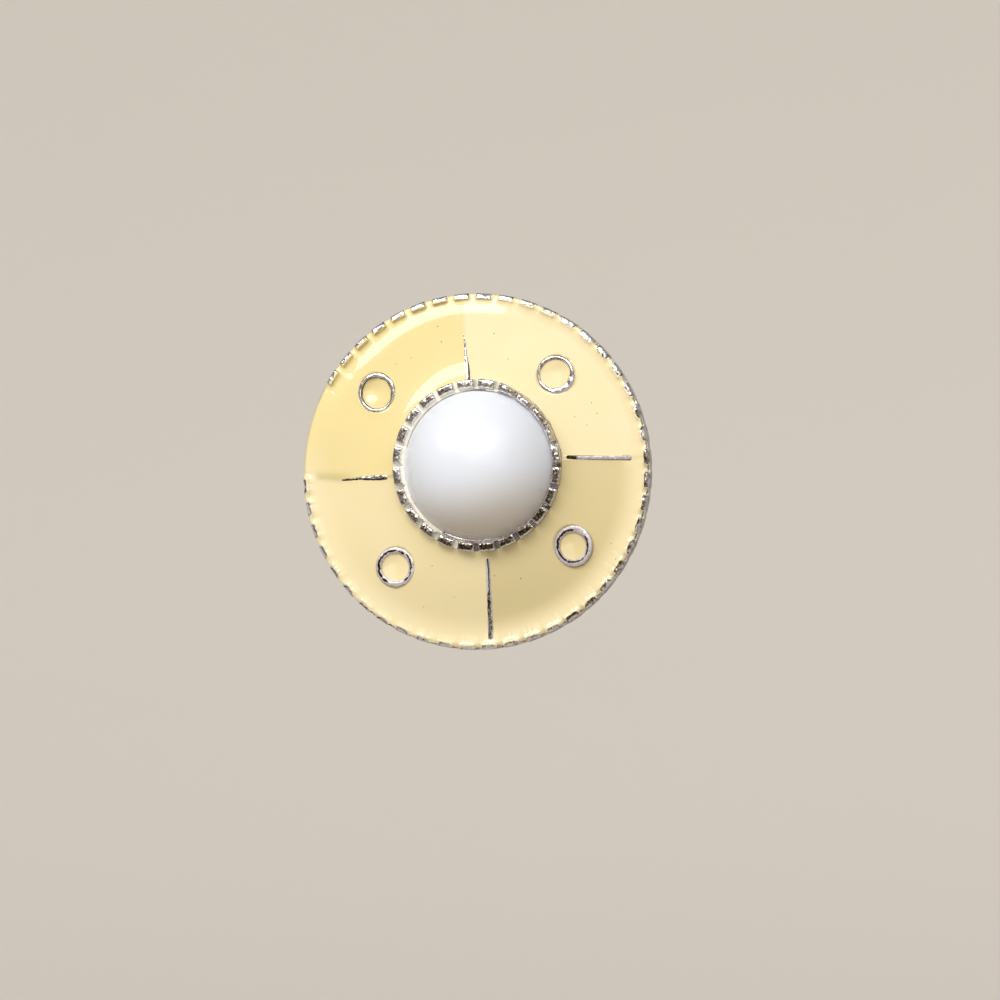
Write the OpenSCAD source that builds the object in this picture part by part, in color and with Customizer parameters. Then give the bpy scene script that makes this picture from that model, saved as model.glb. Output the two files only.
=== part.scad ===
// Disc earring: an enamelled disc with a toothed rim, four rings and four ridges round a domed stone
// in a serrated cup, on a plain ear post. Millimetres, +Z up.
// The face looks towards -Y and the post points towards +Y. The origin is on the post's axis, at the
// back of its pad, where the front of an ear lobe rests.

/* [Disc] */
// Diameter of the disc
disc_d = 42; // [38:1:46]
// Thickness of the cast floor under the enamel
floor_t = 1; // [0.8:0.05:1.1]
// Rounding of the edge of the back
back_round = 0.35; // [0.2:0.05:0.5]

/* [Rim teeth] */
// Number of teeth round the rim
rim_teeth = 48; // [36:4:60]
// Part of the pitch that a rim tooth takes up
rim_tooth_share = 0.66; // [0.5:0.02:0.8]
// Width of the toothed band, measured inwards from the disc's edge
rim_band_w = 0.65; // [0.4:0.05:0.8]
// Height of the rim teeth above the flat back
rim_h = 1.95; // [1.8:0.05:2.1]
// How far the tops of the rim teeth fall towards the disc's edge
rim_fall = 0.22; // [0:0.02:0.26]

/* [Stone and cup] */
// Diameter of the round stone
stone_d = 18; // [17:0.5:18.5]
// Height of the stone's dome above its straight edge
dome_h = 6; // [4:0.25:7]
// Height of the stone's straight edge
stone_edge_h = 0.9; // [0.6:0.1:1.2]
// Thickness of the cup's floor
cup_floor_t = 1; // [0.6:0.1:1.2]
// Height of the cup, from its seat to the top of its teeth
cup_h = 3.15; // [2.9:0.05:3.4]
// Thickness of the plain collar that holds the stone
collar_t = 0.2; // [0.15:0.05:0.3]
// Number of teeth round the cup
cup_teeth = 24; // [18:2:36]
// Part of the pitch that a cup tooth takes up
cup_tooth_share = 0.78; // [0.6:0.02:0.86]
// Height of the flutes between the cup's teeth
flute_h = 1.25; // [0.8:0.05:1.4]
// How far the teeth stand out from the collar
cup_tooth_w = 0.85; // [0.6:0.05:1]
// How far the cup and its teeth are turned, in degrees, seen from the front
cup_turn = 3; // [0:0.5:15]
// How far the cup sits to the right of the disc's centre, seen from the front
cup_right = 0.7; // [0:0.05:0.7]
// How far the cup sits above the disc's centre
cup_up = 0.65; // [0:0.05:0.65]

/* [Enamel] */
// Height of the enamel above the flat back, halfway between the cup and the rim
enamel_h = 2.1; // [2:0.05:2.2]
// How much higher the enamel climbs against the cup
climb_h = 0.9; // [0.4:0.05:1]
// Width of the stretch over which the enamel climbs
climb_w = 3.4; // [2:0.1:4]
// Height of the enamel between the rim teeth, above the flat back
enamel_edge_h = 1.4; // [1.3:0.05:1.6]

/* [Rings and ridges] */
// Outer diameter of a ring of the usual size
ring_d = 4.5; // [3.5:0.1:4.8]
// Thickness of a ring's wall
ring_wall = 0.42; // [0.3:0.02:0.6]
// How far the rings and ridges stand out of the enamel
relief_h = 0.2; // [0.1:0.02:0.3]
// How far the enamel sinks in the middle of a ring
dot_dip = 0.12; // [0.05:0.01:0.2]

/* [Ear post] */
// Diameter of the post
post_d = 0.8; // [0.7:0.05:1]
// Length of the post behind its pad
post_l = 10; // [9:0.5:12]
// Diameter of the post's pad
pad_d = 6; // [4:0.5:8]
// Thickness of the pad
pad_t = 0.6; // [0.4:0.1:1]
// How far the post sits above the disc's centre
post_rise = 8; // [4:0.5:10]

/* [Hidden] */
$fn = 96;

// Space between two pieces that are glued or poured together
seam = 0.03;
// Space round the stone, wider so that the two round walls stay apart
stone_seam = 0.06;
// Spare length of a cutter, so that it runs past the faces that it cuts
over = 1;

disc_r = disc_d / 2;
floor_top = floor_t;
tooth_foot_r = disc_r - rim_band_w;
stone_r = stone_d / 2;
collar_in_r = stone_r + stone_seam;
collar_out_r = collar_in_r + collar_t;
cup_r = collar_out_r + cup_tooth_w;
cup_seat = floor_top + seam;
stone_seat = cup_seat + cup_floor_t + seam;

// The bevel along the outer upper edge of the rim teeth and of the cup teeth
rim_bevel = 0.12;
cup_bevel = 0.14;

// Height inside the floor at which the rim teeth, the rings and the ridges start, so that they are
// one solid with it
relief_foot = floor_top / 2;
// The arms of a cutting star start and end at these parts of its radius
ARM_START = 0.5;
ARM_END = 1.2;

// Radius of the gentle dome of the enamel, the distance from the centre at which its height is
// given, and the height that the dome would reach on the disc's axis
enamel_dome_r = 310;
enamel_mid_r = (cup_r + disc_r) / 2;
enamel_peak = enamel_h + enamel_mid_r * enamel_mid_r / (2 * enamel_dome_r);
// Number of sides of the circle that the dome is a part of, for a smooth arc
dome_facets = 720;
// Radius of the enamel's rounded shoulder near the rim, and where it leaves the dome
shoulder_r = 5;
shoulder_reach = disc_r - 3.4;
// Radius of the hollow curve with which the enamel climbs to the cup
climb_r = (climb_w * climb_w + climb_h * climb_h) / (2 * climb_h);
// A height that clears the enamel at its highest
clear_h = enamel_peak + climb_h + over;
// Play between the enamel's outer face and the disc's edge
enamel_inset = 0.05;

// The rings: [angle from the right, distance from the disc's centre, times the usual diameter]
ANGLE = 0;
REACH = 1;
TIMES = 2;
UPPER_RIGHT = [44.5, 14.95, 1];
UPPER_LEFT = [137, 15.05, 1.01];
LOWER_LEFT = [225, 14.75, 1.05];
LOWER_RIGHT = [319, 14.75, 1.06];
RINGS = [UPPER_RIGHT, UPPER_LEFT, LOWER_LEFT, LOWER_RIGHT];

// The ridges: [angle of that side of the disc, inner end, outer end, width at the inner end, width at
// the outer end], where an end is [distance out from the centre, distance aside]
START = 1;
END = 2;
START_W = 3;
END_W = 4;
RIDGES = [
    [0, [11.2, 0.65], [18.95, 0.05], 0.48, 0.5],
    [90, [10.9, -0.25], [16.4, -0.05], 0.45, 0.16],
    [180, [10.6, -0.25], [16.1, -0.35], 0.45, 0.16],
    [270, [10.2, 0.9], [20, 0.25], 0.42, 0.42],
];

// Turns a shape drawn on the face, with the flat back on z = 0, into the earring's own place
module on_face() {
    translate([0, -pad_t - seam, -post_rise]) rotate([90, 0, 0]) children();
}

module at_cup() {
    translate([cup_right, cup_up]) children();
}

module at_ring(ring) {
    rotate(ring[ANGLE]) translate([ring[REACH], 0]) children();
}

// A star with one straight-sided arm for each tooth, reaching past radius r
module tooth_arms(count, share, r, grow = 0) {
    half = share * 180 / count + asin(grow / r);
    from = ARM_START * r;
    to = ARM_END * r;
    corners = [[from, -half], [to, -half], [to, half], [from, half]];
    polygon([for (i = [0 : count - 1], corner = corners)
        let (a = i * 360 / count + corner[1]) corner[0] * [cos(a), sin(a)]]);
}

// The rim teeth seen from the front, or with grow the space that they take in the enamel
module rim_tooth_shapes(grow = 0) {
    difference() {
        intersection() {
            circle(disc_r + over);
            tooth_arms(rim_teeth, rim_tooth_share, disc_r, grow);
        }
        circle(tooth_foot_r - grow);
    }
}

// One ridge seen from the front: a straight bar that may narrow towards its outer end
module ridge_shape(ridge, grow = 0) {
    along = (ridge[END] - ridge[START]) / norm(ridge[END] - ridge[START]);
    across = [-along[1], along[0]];
    inner = ridge[START] - grow * along;
    outer = ridge[END] + grow * along;
    inner_half = across * (ridge[START_W] / 2 + grow);
    outer_half = across * (ridge[END_W] / 2 + grow);
    rotate(ridge[ANGLE])
        polygon([inner - inner_half, outer - outer_half, outer + outer_half, inner + inner_half]);
}

module ring_shape(ring) {
    at_ring(ring) difference() {
        circle(d = ring_d * ring[TIMES]);
        circle(d = ring_d * ring[TIMES] - 2 * ring_wall);
    }
}

// Half of the enamel's section without the climb: a flat dome with a rounded shoulder that falls to
// a thin edge between the rim teeth
module enamel_section() {
    dome_slope = asin(shoulder_reach / enamel_dome_r);
    shoulder_x = shoulder_reach - shoulder_r * sin(dome_slope);
    shoulder_y = enamel_peak - enamel_dome_r + (enamel_dome_r - shoulder_r) * cos(dome_slope);
    intersection() {
        square([shoulder_reach, enamel_peak]);
        translate([0, enamel_peak - enamel_dome_r]) circle(enamel_dome_r, $fn = dome_facets);
    }
    intersection() {
        square([tooth_foot_r, enamel_peak]);
        translate([shoulder_x, shoulder_y]) circle(shoulder_r);
    }
    square([disc_r - enamel_inset, enamel_edge_h]);
}

// Half of the section of the climb, a hollow curve that starts level at the dome and ends at the cup
module climb_section() {
    foot = cup_r + climb_w;
    foot_h = enamel_peak - foot * foot / (2 * enamel_dome_r);
    difference() {
        square([foot, foot_h + climb_h]);
        translate([foot, foot_h + climb_r]) circle(climb_r);
        translate([0, foot_h + climb_h]) square([foot + over, over]);
    }
}

// The enamel as poured, before the metal that stands in it takes its space
module enamel_form() {
    rotate_extrude() enamel_section();
    at_cup() rotate_extrude() climb_section();
}

module disc_plate() {
    color("silver") on_face() {
        rotate_extrude() polygon([[0, 0], [disc_r - back_round, 0], [disc_r, back_round],
            [disc_r, floor_top], [0, floor_top]]);
        intersection() {
            rotate_extrude() polygon([[tooth_foot_r - over, relief_foot], [disc_r, relief_foot],
                [disc_r, rim_h - rim_fall - rim_bevel], [disc_r - rim_bevel, rim_h - rim_fall],
                [tooth_foot_r, rim_h], [tooth_foot_r - over, rim_h]]);
            translate([0, 0, relief_foot]) linear_extrude(rim_h) rim_tooth_shapes();
        }
        intersection() {
            translate([0, 0, relief_h]) enamel_form();
            translate([0, 0, relief_foot]) linear_extrude(clear_h) {
                for (ring = RINGS) ring_shape(ring);
                for (ridge = RIDGES) ridge_shape(ridge);
            }
        }
    }
}

// A floor, a plain collar that holds the stone, and outside it a band of square teeth
module stone_cup() {
    color("gray") on_face() translate([0, 0, cup_seat]) at_cup() difference() {
        rotate_extrude() polygon([[0, 0], [cup_r, 0], [cup_r, cup_h - cup_bevel],
            [cup_r - cup_bevel, cup_h], [collar_in_r, cup_h], [collar_in_r, cup_floor_t],
            [0, cup_floor_t]]);
        translate([0, 0, cup_h - flute_h]) linear_extrude(flute_h + over) difference() {
            circle(cup_r + over);
            rotate(cup_turn) tooth_arms(cup_teeth, cup_tooth_share, cup_r);
            circle(collar_out_r);
        }
    }
}

module enamel_field() {
    color("khaki") on_face() difference() {
        enamel_form();
        translate([0, 0, -over]) cylinder(h = floor_top + seam + over, r = disc_r + over);
        linear_extrude(clear_h) {
            rim_tooth_shapes(seam);
            at_cup() circle(cup_r + seam);
            for (ring = RINGS) at_ring(ring) circle(d = ring_d * ring[TIMES] + 2 * seam);
            for (ridge = RIDGES) ridge_shape(ridge, seam);
        }
    }
}

// The drop of enamel inside one ring, with a hollowed top
module enamel_dot(ring) {
    dot_r = ring_d * ring[TIMES] / 2 - ring_wall - seam;
    dot_top = enamel_peak - ring[REACH] * ring[REACH] / (2 * enamel_dome_r);
    dip_r = (dot_r * dot_r + dot_dip * dot_dip) / (2 * dot_dip);
    color("khaki") on_face() at_ring(ring) difference() {
        translate([0, 0, floor_top + seam]) cylinder(h = dot_top - floor_top - seam, r = dot_r);
        translate([0, 0, dot_top - dot_dip + dip_r]) sphere(dip_r);
    }
}

module enamel_dot_upper_right() {
    enamel_dot(UPPER_RIGHT);
}

module enamel_dot_upper_left() {
    enamel_dot(UPPER_LEFT);
}

module enamel_dot_lower_left() {
    enamel_dot(LOWER_LEFT);
}

module enamel_dot_lower_right() {
    enamel_dot(LOWER_RIGHT);
}

// A round straight edge with a cap of a sphere on it
module cabochon() {
    cap_r = (stone_r * stone_r + dome_h * dome_h) / (2 * dome_h);
    color("white") on_face() translate([0, 0, stone_seat]) at_cup() {
        cylinder(h = stone_edge_h, r = stone_r);
        translate([0, 0, stone_edge_h]) intersection() {
            translate([0, 0, dome_h - cap_r]) sphere(cap_r);
            cylinder(h = dome_h + over, r = stone_r);
        }
    }
}

// A round pad behind the disc and a straight post with a round end
module ear_post() {
    color("lightgray") rotate([-90, 0, 0]) {
        translate([0, 0, -pad_t]) cylinder(h = pad_t, d = pad_d);
        cylinder(h = post_l - post_d / 2, d = post_d);
        translate([0, 0, post_l - post_d / 2]) sphere(d = post_d);
    }
}

disc_plate();
stone_cup();
enamel_field();
enamel_dot_upper_right();
enamel_dot_upper_left();
enamel_dot_lower_left();
enamel_dot_lower_right();
cabochon();
ear_post();
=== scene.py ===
# %% [markdown]
# # Disc earring
# A large button earring, held up as it is worn: a cast metal disc filled with cream enamel, with
# rings and ridges that stand in the enamel, and a white domed stone in a serrated cup. The solid
# model gives every size. This lesson gives each part the small unevenness of a cast and poured
# thing, because that is what makes metal and enamel look real in a close view.

# %% Load the solid model
import math
import random

import bmesh
import bpy
from mathutils import Matrix, Vector, noise


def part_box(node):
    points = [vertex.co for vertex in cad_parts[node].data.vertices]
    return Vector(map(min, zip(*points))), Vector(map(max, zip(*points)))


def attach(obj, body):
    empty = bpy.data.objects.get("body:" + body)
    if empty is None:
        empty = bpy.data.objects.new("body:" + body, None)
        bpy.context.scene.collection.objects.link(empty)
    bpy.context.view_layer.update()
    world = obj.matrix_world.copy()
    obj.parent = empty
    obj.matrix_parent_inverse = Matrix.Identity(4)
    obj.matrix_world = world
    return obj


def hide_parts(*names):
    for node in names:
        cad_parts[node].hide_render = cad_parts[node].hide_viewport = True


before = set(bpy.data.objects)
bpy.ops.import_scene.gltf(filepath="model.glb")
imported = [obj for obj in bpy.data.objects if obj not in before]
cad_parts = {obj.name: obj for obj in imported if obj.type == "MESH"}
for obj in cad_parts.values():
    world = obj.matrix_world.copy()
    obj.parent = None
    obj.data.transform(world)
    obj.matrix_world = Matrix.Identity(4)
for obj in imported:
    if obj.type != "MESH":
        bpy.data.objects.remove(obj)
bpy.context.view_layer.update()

# %% [markdown]
# ## Working on the face
# The face of a disc is easiest to draw lying flat, in millimetres, with its back on z = 0 and z
# pointing out of the face. It could be built upright and in metres, but then every formula would
# carry the turn and the scale. Here one matrix turns each finished mesh upright and shrinks it, so
# no object needs a rotation or a scale of its own. The sizes come from the boxes of the solid
# pieces, so the two models can't drift apart.

# %% Sizes of the face
MM = 0.001
plate_low, plate_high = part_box("disc_plate")
cup_low, cup_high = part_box("stone_cup")
stone_low, stone_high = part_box("cabochon")
post_low, post_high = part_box("ear_post")

disc_r = (plate_high.x - plate_low.x) / 2 / MM
disc_centre = (plate_low + plate_high) / 2
face_back = plate_high.y
FACE = (
    Matrix.Translation((disc_centre.x, face_back, disc_centre.z))
    @ Matrix.Rotation(math.radians(90), 4, "X")
    @ Matrix.Scale(MM, 4)
)
cup_centre = Vector(((cup_low.x + cup_high.x) / 2, 0, (cup_low.z + cup_high.z) / 2)) - disc_centre
cup_x = cup_centre.x / MM
cup_y = cup_centre.z / MM
cup_r = (cup_high.x - cup_low.x) / 2 / MM
cup_top = (face_back - cup_low.y) / MM
cup_seat = (face_back - cup_high.y) / MM
stone_r = (stone_high.x - stone_low.x) / 2 / MM
stone_top = (face_back - stone_low.y) / MM
stone_seat = (face_back - stone_high.y) / MM
print("disc radius", round(disc_r, 2), "mm, stone radius", round(stone_r, 2), "mm")
print("cup centre", round(cup_x, 2), round(cup_y, 2), "mm, cup top", round(cup_top, 2), "mm over the back")


# %% [markdown]
# ## Helpers for places
# Almost everything on a disc is found by its angle and its distance from the middle. Soft steps and
# smooth random numbers then shape it. They are plain functions and not modifiers, because the
# enamel, the metal and their colours must all agree on what happens at a place.

# %% Angles and soft steps
def on_face(angle, reach):
    """The point at an angle in degrees, counted from the right, and at a distance from the middle."""
    turn = math.radians(angle)
    return Vector((reach * math.cos(turn), reach * math.sin(turn), 0))


def polar(x, y):
    """The distance from the middle, and the angle from 0 to 360 degrees."""
    return math.hypot(x, y), math.degrees(math.atan2(y, x)) % 360


def smooth_step(value):
    """0 below 0, 1 above 1, and a soft S between them."""
    value = min(1.0, max(0.0, value))
    return value * value * (3 - 2 * value)


def within(angle, start, end, ease_in, ease_out):
    """1 between two angles and 0 outside, with a soft start and a soft end of the given widths."""
    return smooth_step((angle - start) / ease_in) * smooth_step((end - angle) / ease_out)


print("10 mm out at 45 degrees:", [round(value, 2) for value in on_face(45, 10)])


# %% Tables and smooth random numbers
def blend(ends, share):
    """A value between the first end, at share 0, and the second, at share 1."""
    return ends[0] * (1 - share) + ends[1] * share


def read_table(table, at, column=1):
    """Reads a value off a list of (position, value) points, in a straight line between them."""
    for before, after in zip(table, table[1:]):
        if at <= after[0]:
            part = max(0.0, at - before[0]) / (after[0] - before[0])
            return before[column] + (after[column] - before[column]) * part
    return table[-1][column]


def wobble(place, size, seed=0.0):
    """A smooth random number from about -1 to 1 that changes over the given size in mm."""
    return noise.noise(Vector((place.x / size + seed, place.y / size - seed, place.z / size + 2 * seed)))


print("wobble at two places half a size apart:", [round(wobble(Vector((x, 0, 0)), 1), 2) for x in (0.3, 0.8)])


# %% [markdown]
# ## Helpers for meshes
# A round piece starts as a line of points that is spun about an axis, which gives clean rows of
# faces to work on. Every piece then ends the same way: its faces are turned outwards, its sharp
# edges are marked, it is moved to its place, and it rides on the earring's one body. A float that
# is stored on each point, such as how tarnished the metal is there, lets a material follow the
# shape without an image.

# %% Spin, store and finish
def spin_profile(bm, profile, steps, closed=False, start=0.0, centre=(0, 0, 0)):
    """Turns a line of (radius, height) points about the z axis through centre."""
    heading = Vector((math.cos(start), math.sin(start), 0))
    centre = Vector(centre)
    weld = 0.0005
    verts = [bm.verts.new(centre + heading * r + Vector((0, 0, z))) for r, z in profile]
    pairs = list(zip(verts, verts[1:]))
    if closed:
        pairs.append((verts[-1], verts[0]))
    edges = [bm.edges.new(pair) for pair in pairs]
    bmesh.ops.spin(
        bm, geom=verts + edges, cent=centre, axis=(0, 0, 1), angle=math.tau, steps=steps, use_merge=True
    )
    bmesh.ops.remove_doubles(bm, verts=bm.verts, dist=weld)
    bmesh.ops.recalc_face_normals(bm, faces=bm.faces)


def point_values(bm, *names):
    """Adds a float for each name to the points, for a material to read."""
    return [bm.verts.layers.float.new(name) for name in names]


def finish_piece(bm, name, materials, replaced, place=FACE, crease=32):
    """Makes an object of the mesh in its place on the earring, and hides the solid that it stands for."""
    bmesh.ops.recalc_face_normals(bm, faces=bm.faces)
    for edge in bm.edges:
        if len(edge.link_faces) == 2 and edge.calc_face_angle() > math.radians(crease):
            edge.smooth = False
    for face in bm.faces:
        face.smooth = True
    bmesh.ops.transform(bm, matrix=place, verts=bm.verts)
    mesh = bpy.data.meshes.new(name)
    bm.to_mesh(mesh)
    bm.free()
    for material in materials:
        mesh.materials.append(material)
    piece = bpy.data.objects.new(name, mesh)
    bpy.context.scene.collection.objects.link(piece)
    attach(piece, "root")
    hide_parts(*replaced)
    print(name, len(mesh.polygons), "faces")
    return piece


trial = bmesh.new()
spin_profile(trial, [(1, 0), (2, 0)], 8)
print("a line spun in 8 steps has", len(trial.faces), "faces")
trial.free()


# %% [markdown]
# ## Helpers for materials
# A colour is easiest to match as the hex value that a picture program shows, but a shader works
# with linear light, so one function turns the first into the second. One more adds a node, sets it
# and links it, which keeps each material short enough to read from top to bottom.

# %% Colours and nodes
# The Mix node has sockets for each kind of value under the same names, so its colour sockets go by
# number. So do those of a Math node that multiplies and adds: value, factor, what is added.
MIX_SHARE, MIX_FIRST, MIX_SECOND, MIX_RESULT = 0, 6, 7, 2


def linear(hex_colour):
    """An sRGB hex colour as the linear colour that a shader takes."""
    parts = [int(hex_colour[i : i + 2], 16) / 255 for i in (1, 3, 5)]
    return (*(p / 12.92 if p <= 0.04045 else ((p + 0.055) / 1.055) ** 2.4 for p in parts), 1.0)


def new_material(name):
    """A material without nodes, and its node tree."""
    material = bpy.data.materials.new(name)
    material.use_nodes = True
    material.node_tree.nodes.clear()
    return material, material.node_tree


def add_node(tree, kind, inputs=None, **settings):
    """Adds a node, sets its properties, and fills or links its inputs by name or by number."""
    node = tree.nodes.new(kind)
    for key, value in settings.items():
        setattr(node, key, value)
    for key, value in (inputs or {}).items():
        if isinstance(value, bpy.types.NodeSocket):
            tree.links.new(value, node.inputs[key])
        else:
            node.inputs[key].default_value = value
    return node


print("cream #ECD582 in linear light:", [round(part, 3) for part in linear("#ECD582")])


# %% [markdown]
# ## Cast metal
# The disc, the cup and their relief are a zinc alloy casting with a thin silver-tone plating, as on
# most jewellery of this kind. The plating is bright where fingers and cloth rub it and dark brown in
# its pits and hollows. One noise drives colour, roughness and bump together, because in the real
# metal the same pits do all three. Most real pits are too fine to show, so they are drawn 0.22 mm
# wide. The tarnish value on the points says where the hollows are; on the tops of the teeth, along
# the edges of the rings and at the worn edge of the cup it also paints dark reflection and shade.
# The satin value says where the plating is worn off: bare zinc grows a dull, pale lilac skin of
# oxide, which scatters light more than it mirrors it.

# %% Silver-tone plated casting
def plated_casting(name, pit_mm):
    shape_share, clean_start = 0.8, -0.95
    pit_share, blotch_share = 1.5, 0.6
    blotch_mm = 4 * pit_mm
    material, tree = new_material(name)
    place = add_node(tree, "ShaderNodeTexCoord").outputs["Object"]
    pits = add_node(
        tree,
        "ShaderNodeTexNoise",
        {"Vector": place, "Scale": 1 / (pit_mm * MM), "Detail": 4, "Roughness": 0.6},
    )
    blotch = add_node(
        tree, "ShaderNodeTexNoise", {"Vector": place, "Scale": 1 / (blotch_mm * MM), "Detail": 2}
    )
    # Real tarnish, and on some tops and edges painted dark reflection and shade
    tarnish_and_painted_dark = add_node(tree, "ShaderNodeAttribute", attribute_name="tarnish_and_painted_dark")
    from_shape = add_node(
        tree,
        "ShaderNodeMath",
        {0: tarnish_and_painted_dark.outputs["Fac"], 1: shape_share, 2: clean_start},
        operation="MULTIPLY_ADD",
    )
    with_pits = add_node(
        tree,
        "ShaderNodeMath",
        {0: pits.outputs["Fac"], 1: pit_share, 2: from_shape.outputs[0]},
        operation="MULTIPLY_ADD",
    )
    share = add_node(
        tree,
        "ShaderNodeMath",
        {0: blotch.outputs["Fac"], 1: blotch_share, 2: with_pits.outputs[0]},
        operation="MULTIPLY_ADD",
        use_clamp=True,
    )
    tone = add_node(tree, "ShaderNodeValToRGB", {"Fac": share.outputs[0]})
    ramp = tone.color_ramp
    ramp.elements[0].position = 0.02
    ramp.elements[0].color = linear("#F3F1EF")
    ramp.elements[1].position = 0.95
    ramp.elements[1].color = linear("#261E16")
    ramp.elements.new(0.3).color = linear("#CBC5C3")
    ramp.elements.new(0.5).color = linear("#90867A")
    ramp.elements.new(0.7).color = linear("#524537")
    satin = add_node(tree, "ShaderNodeAttribute", attribute_name="satin")
    bare = add_node(
        tree,
        "ShaderNodeMix",
        {MIX_SHARE: satin.outputs["Fac"], MIX_FIRST: tone.outputs["Color"], MIX_SECOND: linear("#D0C6C8")},
        data_type="RGBA",
    )
    plated_rough = add_node(
        tree, "ShaderNodeMapRange", {"Value": share.outputs[0], "To Min": 0.14, "To Max": 0.42}
    )
    rough = add_node(
        tree,
        "ShaderNodeMath",
        {0: satin.outputs["Fac"], 1: 0.35, 2: plated_rough.outputs[0]},
        operation="MULTIPLY_ADD",
        use_clamp=True,
    )
    metallic = add_node(
        tree, "ShaderNodeMapRange", {"Value": satin.outputs["Fac"], "To Min": 1.0, "To Max": 0.3}
    )
    bump = add_node(
        tree, "ShaderNodeBump", {"Height": pits.outputs["Fac"], "Strength": 0.6, "Distance": 0.05 * MM}
    )
    surface = add_node(
        tree,
        "ShaderNodeBsdfPrincipled",
        {
            "Base Color": bare.outputs[MIX_RESULT],
            "Metallic": metallic.outputs[0],
            "Roughness": rough.outputs[0],
            "Normal": bump.outputs["Normal"],
        },
    )
    add_node(tree, "ShaderNodeOutputMaterial", {"Surface": surface.outputs[0]})
    return material


casting = plated_casting("silver_tone_plated_zinc_casting", pit_mm=0.22)
print(casting.name, len(casting.node_tree.nodes), "nodes")


# %% [markdown]
# ## Poured epoxy enamel
# The cream colour is a cold enamel: a coloured epoxy resin, poured into the hollows of the casting
# and left to level. It sets with a very smooth, glossy skin, so its roughness is low and its IOR is
# that of epoxy. Where it lies deeper its colour is fuller, so a depth value on the points mixes a
# pale and a full cream, with faint clouds about 5 mm wide where the colour was stirred in
# unevenly. A second value darkens it towards an olive brown: this is painted shade, at the lower
# right, towards the bottom, beside the cup and in other low places. In the cup's flutes the enamel
# is a mere film over bright metal, so a paler copy of the finish is used there; its paleness is
# partly a painted highlight too, which brightens the flutes and the lip.

# %% Cream enamel
def cream_enamel(name, pale, full):
    cloud_mm = 5
    material, tree = new_material(name)
    place = add_node(tree, "ShaderNodeTexCoord").outputs["Object"]
    depth = add_node(tree, "ShaderNodeAttribute", attribute_name="depth")
    painted_shading = add_node(tree, "ShaderNodeAttribute", attribute_name="painted_shading")
    cloud = add_node(
        tree, "ShaderNodeTexNoise", {"Vector": place, "Scale": 1 / (cloud_mm * MM), "Detail": 3}
    )
    fullness = add_node(
        tree,
        "ShaderNodeMath",
        {0: cloud.outputs["Fac"], 1: 0.3, 2: depth.outputs["Fac"]},
        operation="MULTIPLY_ADD",
        use_clamp=True,
    )
    clean = add_node(
        tree,
        "ShaderNodeMix",
        {MIX_SHARE: fullness.outputs[0], MIX_FIRST: linear(pale), MIX_SECOND: linear(full)},
        data_type="RGBA",
    )
    # Painted shade: where the second value rises, the cream is mixed towards this dark olive brown
    shade_mixed = add_node(
        tree,
        "ShaderNodeMix",
        {
            MIX_SHARE: painted_shading.outputs["Fac"],
            MIX_FIRST: clean.outputs[MIX_RESULT],
            MIX_SECOND: linear("#877A4C"),
        },
        data_type="RGBA",
    )
    surface = add_node(
        tree,
        "ShaderNodeBsdfPrincipled",
        {"Base Color": shade_mixed.outputs[MIX_RESULT], "Roughness": 0.06, "IOR": 1.56},
    )
    add_node(tree, "ShaderNodeOutputMaterial", {"Surface": surface.outputs[0]})
    return material


enamel = cream_enamel("cream_epoxy_enamel", "#F4E3B6", "#ECD582")
# The paler copy is a thin film over metal, and also a painted highlight that brightens the flutes and the lip
thin_enamel_and_painted_sheen = cream_enamel("thin_epoxy_enamel_with_painted_sheen", "#FCF9EC", "#EFEBD6")
print(enamel.name, "and", thin_enamel_and_painted_sheen.name)


# %% [markdown]
# ## Resin stone
# The stone is an opaque white resin cabochon, moulded and tumbled. Tumbling leaves hair-fine
# scratches. They are too fine to draw one by one, so a broad roughness and a thin soft coat stand
# for them, and the light that the stone mirrors is wide and soft. Its lower side is painted a warmer
# grey as painted shade, darker towards the bottom, by a value on the points.

# %% White resin
def white_resin():
    haze_mm = 2.5
    material, tree = new_material("tumbled_white_resin")
    place = add_node(tree, "ShaderNodeTexCoord").outputs["Object"]
    haze = add_node(
        tree, "ShaderNodeTexNoise", {"Vector": place, "Scale": 1 / (haze_mm * MM), "Detail": 4}
    )
    painted_shading = add_node(tree, "ShaderNodeAttribute", attribute_name="painted_shading")
    # Painted shade: the lower side of the stone is mixed towards a warm grey
    low_side_shade = add_node(
        tree,
        "ShaderNodeMix",
        {MIX_SHARE: painted_shading.outputs["Fac"], MIX_FIRST: linear("#E6E9F0"), MIX_SECOND: linear("#D0C7BB")},
        data_type="RGBA",
    )
    rough = add_node(
        tree, "ShaderNodeMapRange", {"Value": haze.outputs["Fac"], "To Min": 0.24, "To Max": 0.36}
    )
    surface = add_node(
        tree,
        "ShaderNodeBsdfPrincipled",
        {
            "Base Color": low_side_shade.outputs[MIX_RESULT],
            "Roughness": rough.outputs[0],
            "IOR": 1.5,
            "Coat Weight": 0.35,
            "Coat Roughness": 0.2,
        },
    )
    add_node(tree, "ShaderNodeOutputMaterial", {"Surface": surface.outputs[0]})
    return material


resin = white_resin()
print(resin.name)


# %% [markdown]
# ## Drawn steel
# The post is stainless wire that was drawn through a die. The die leaves fine lines along the wire,
# which spread its highlight into a soft streak. A noise that is stretched along the wire gives
# those lines. They are 0.05 mm apart, as on such wire, and drive the roughness alone.

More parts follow.
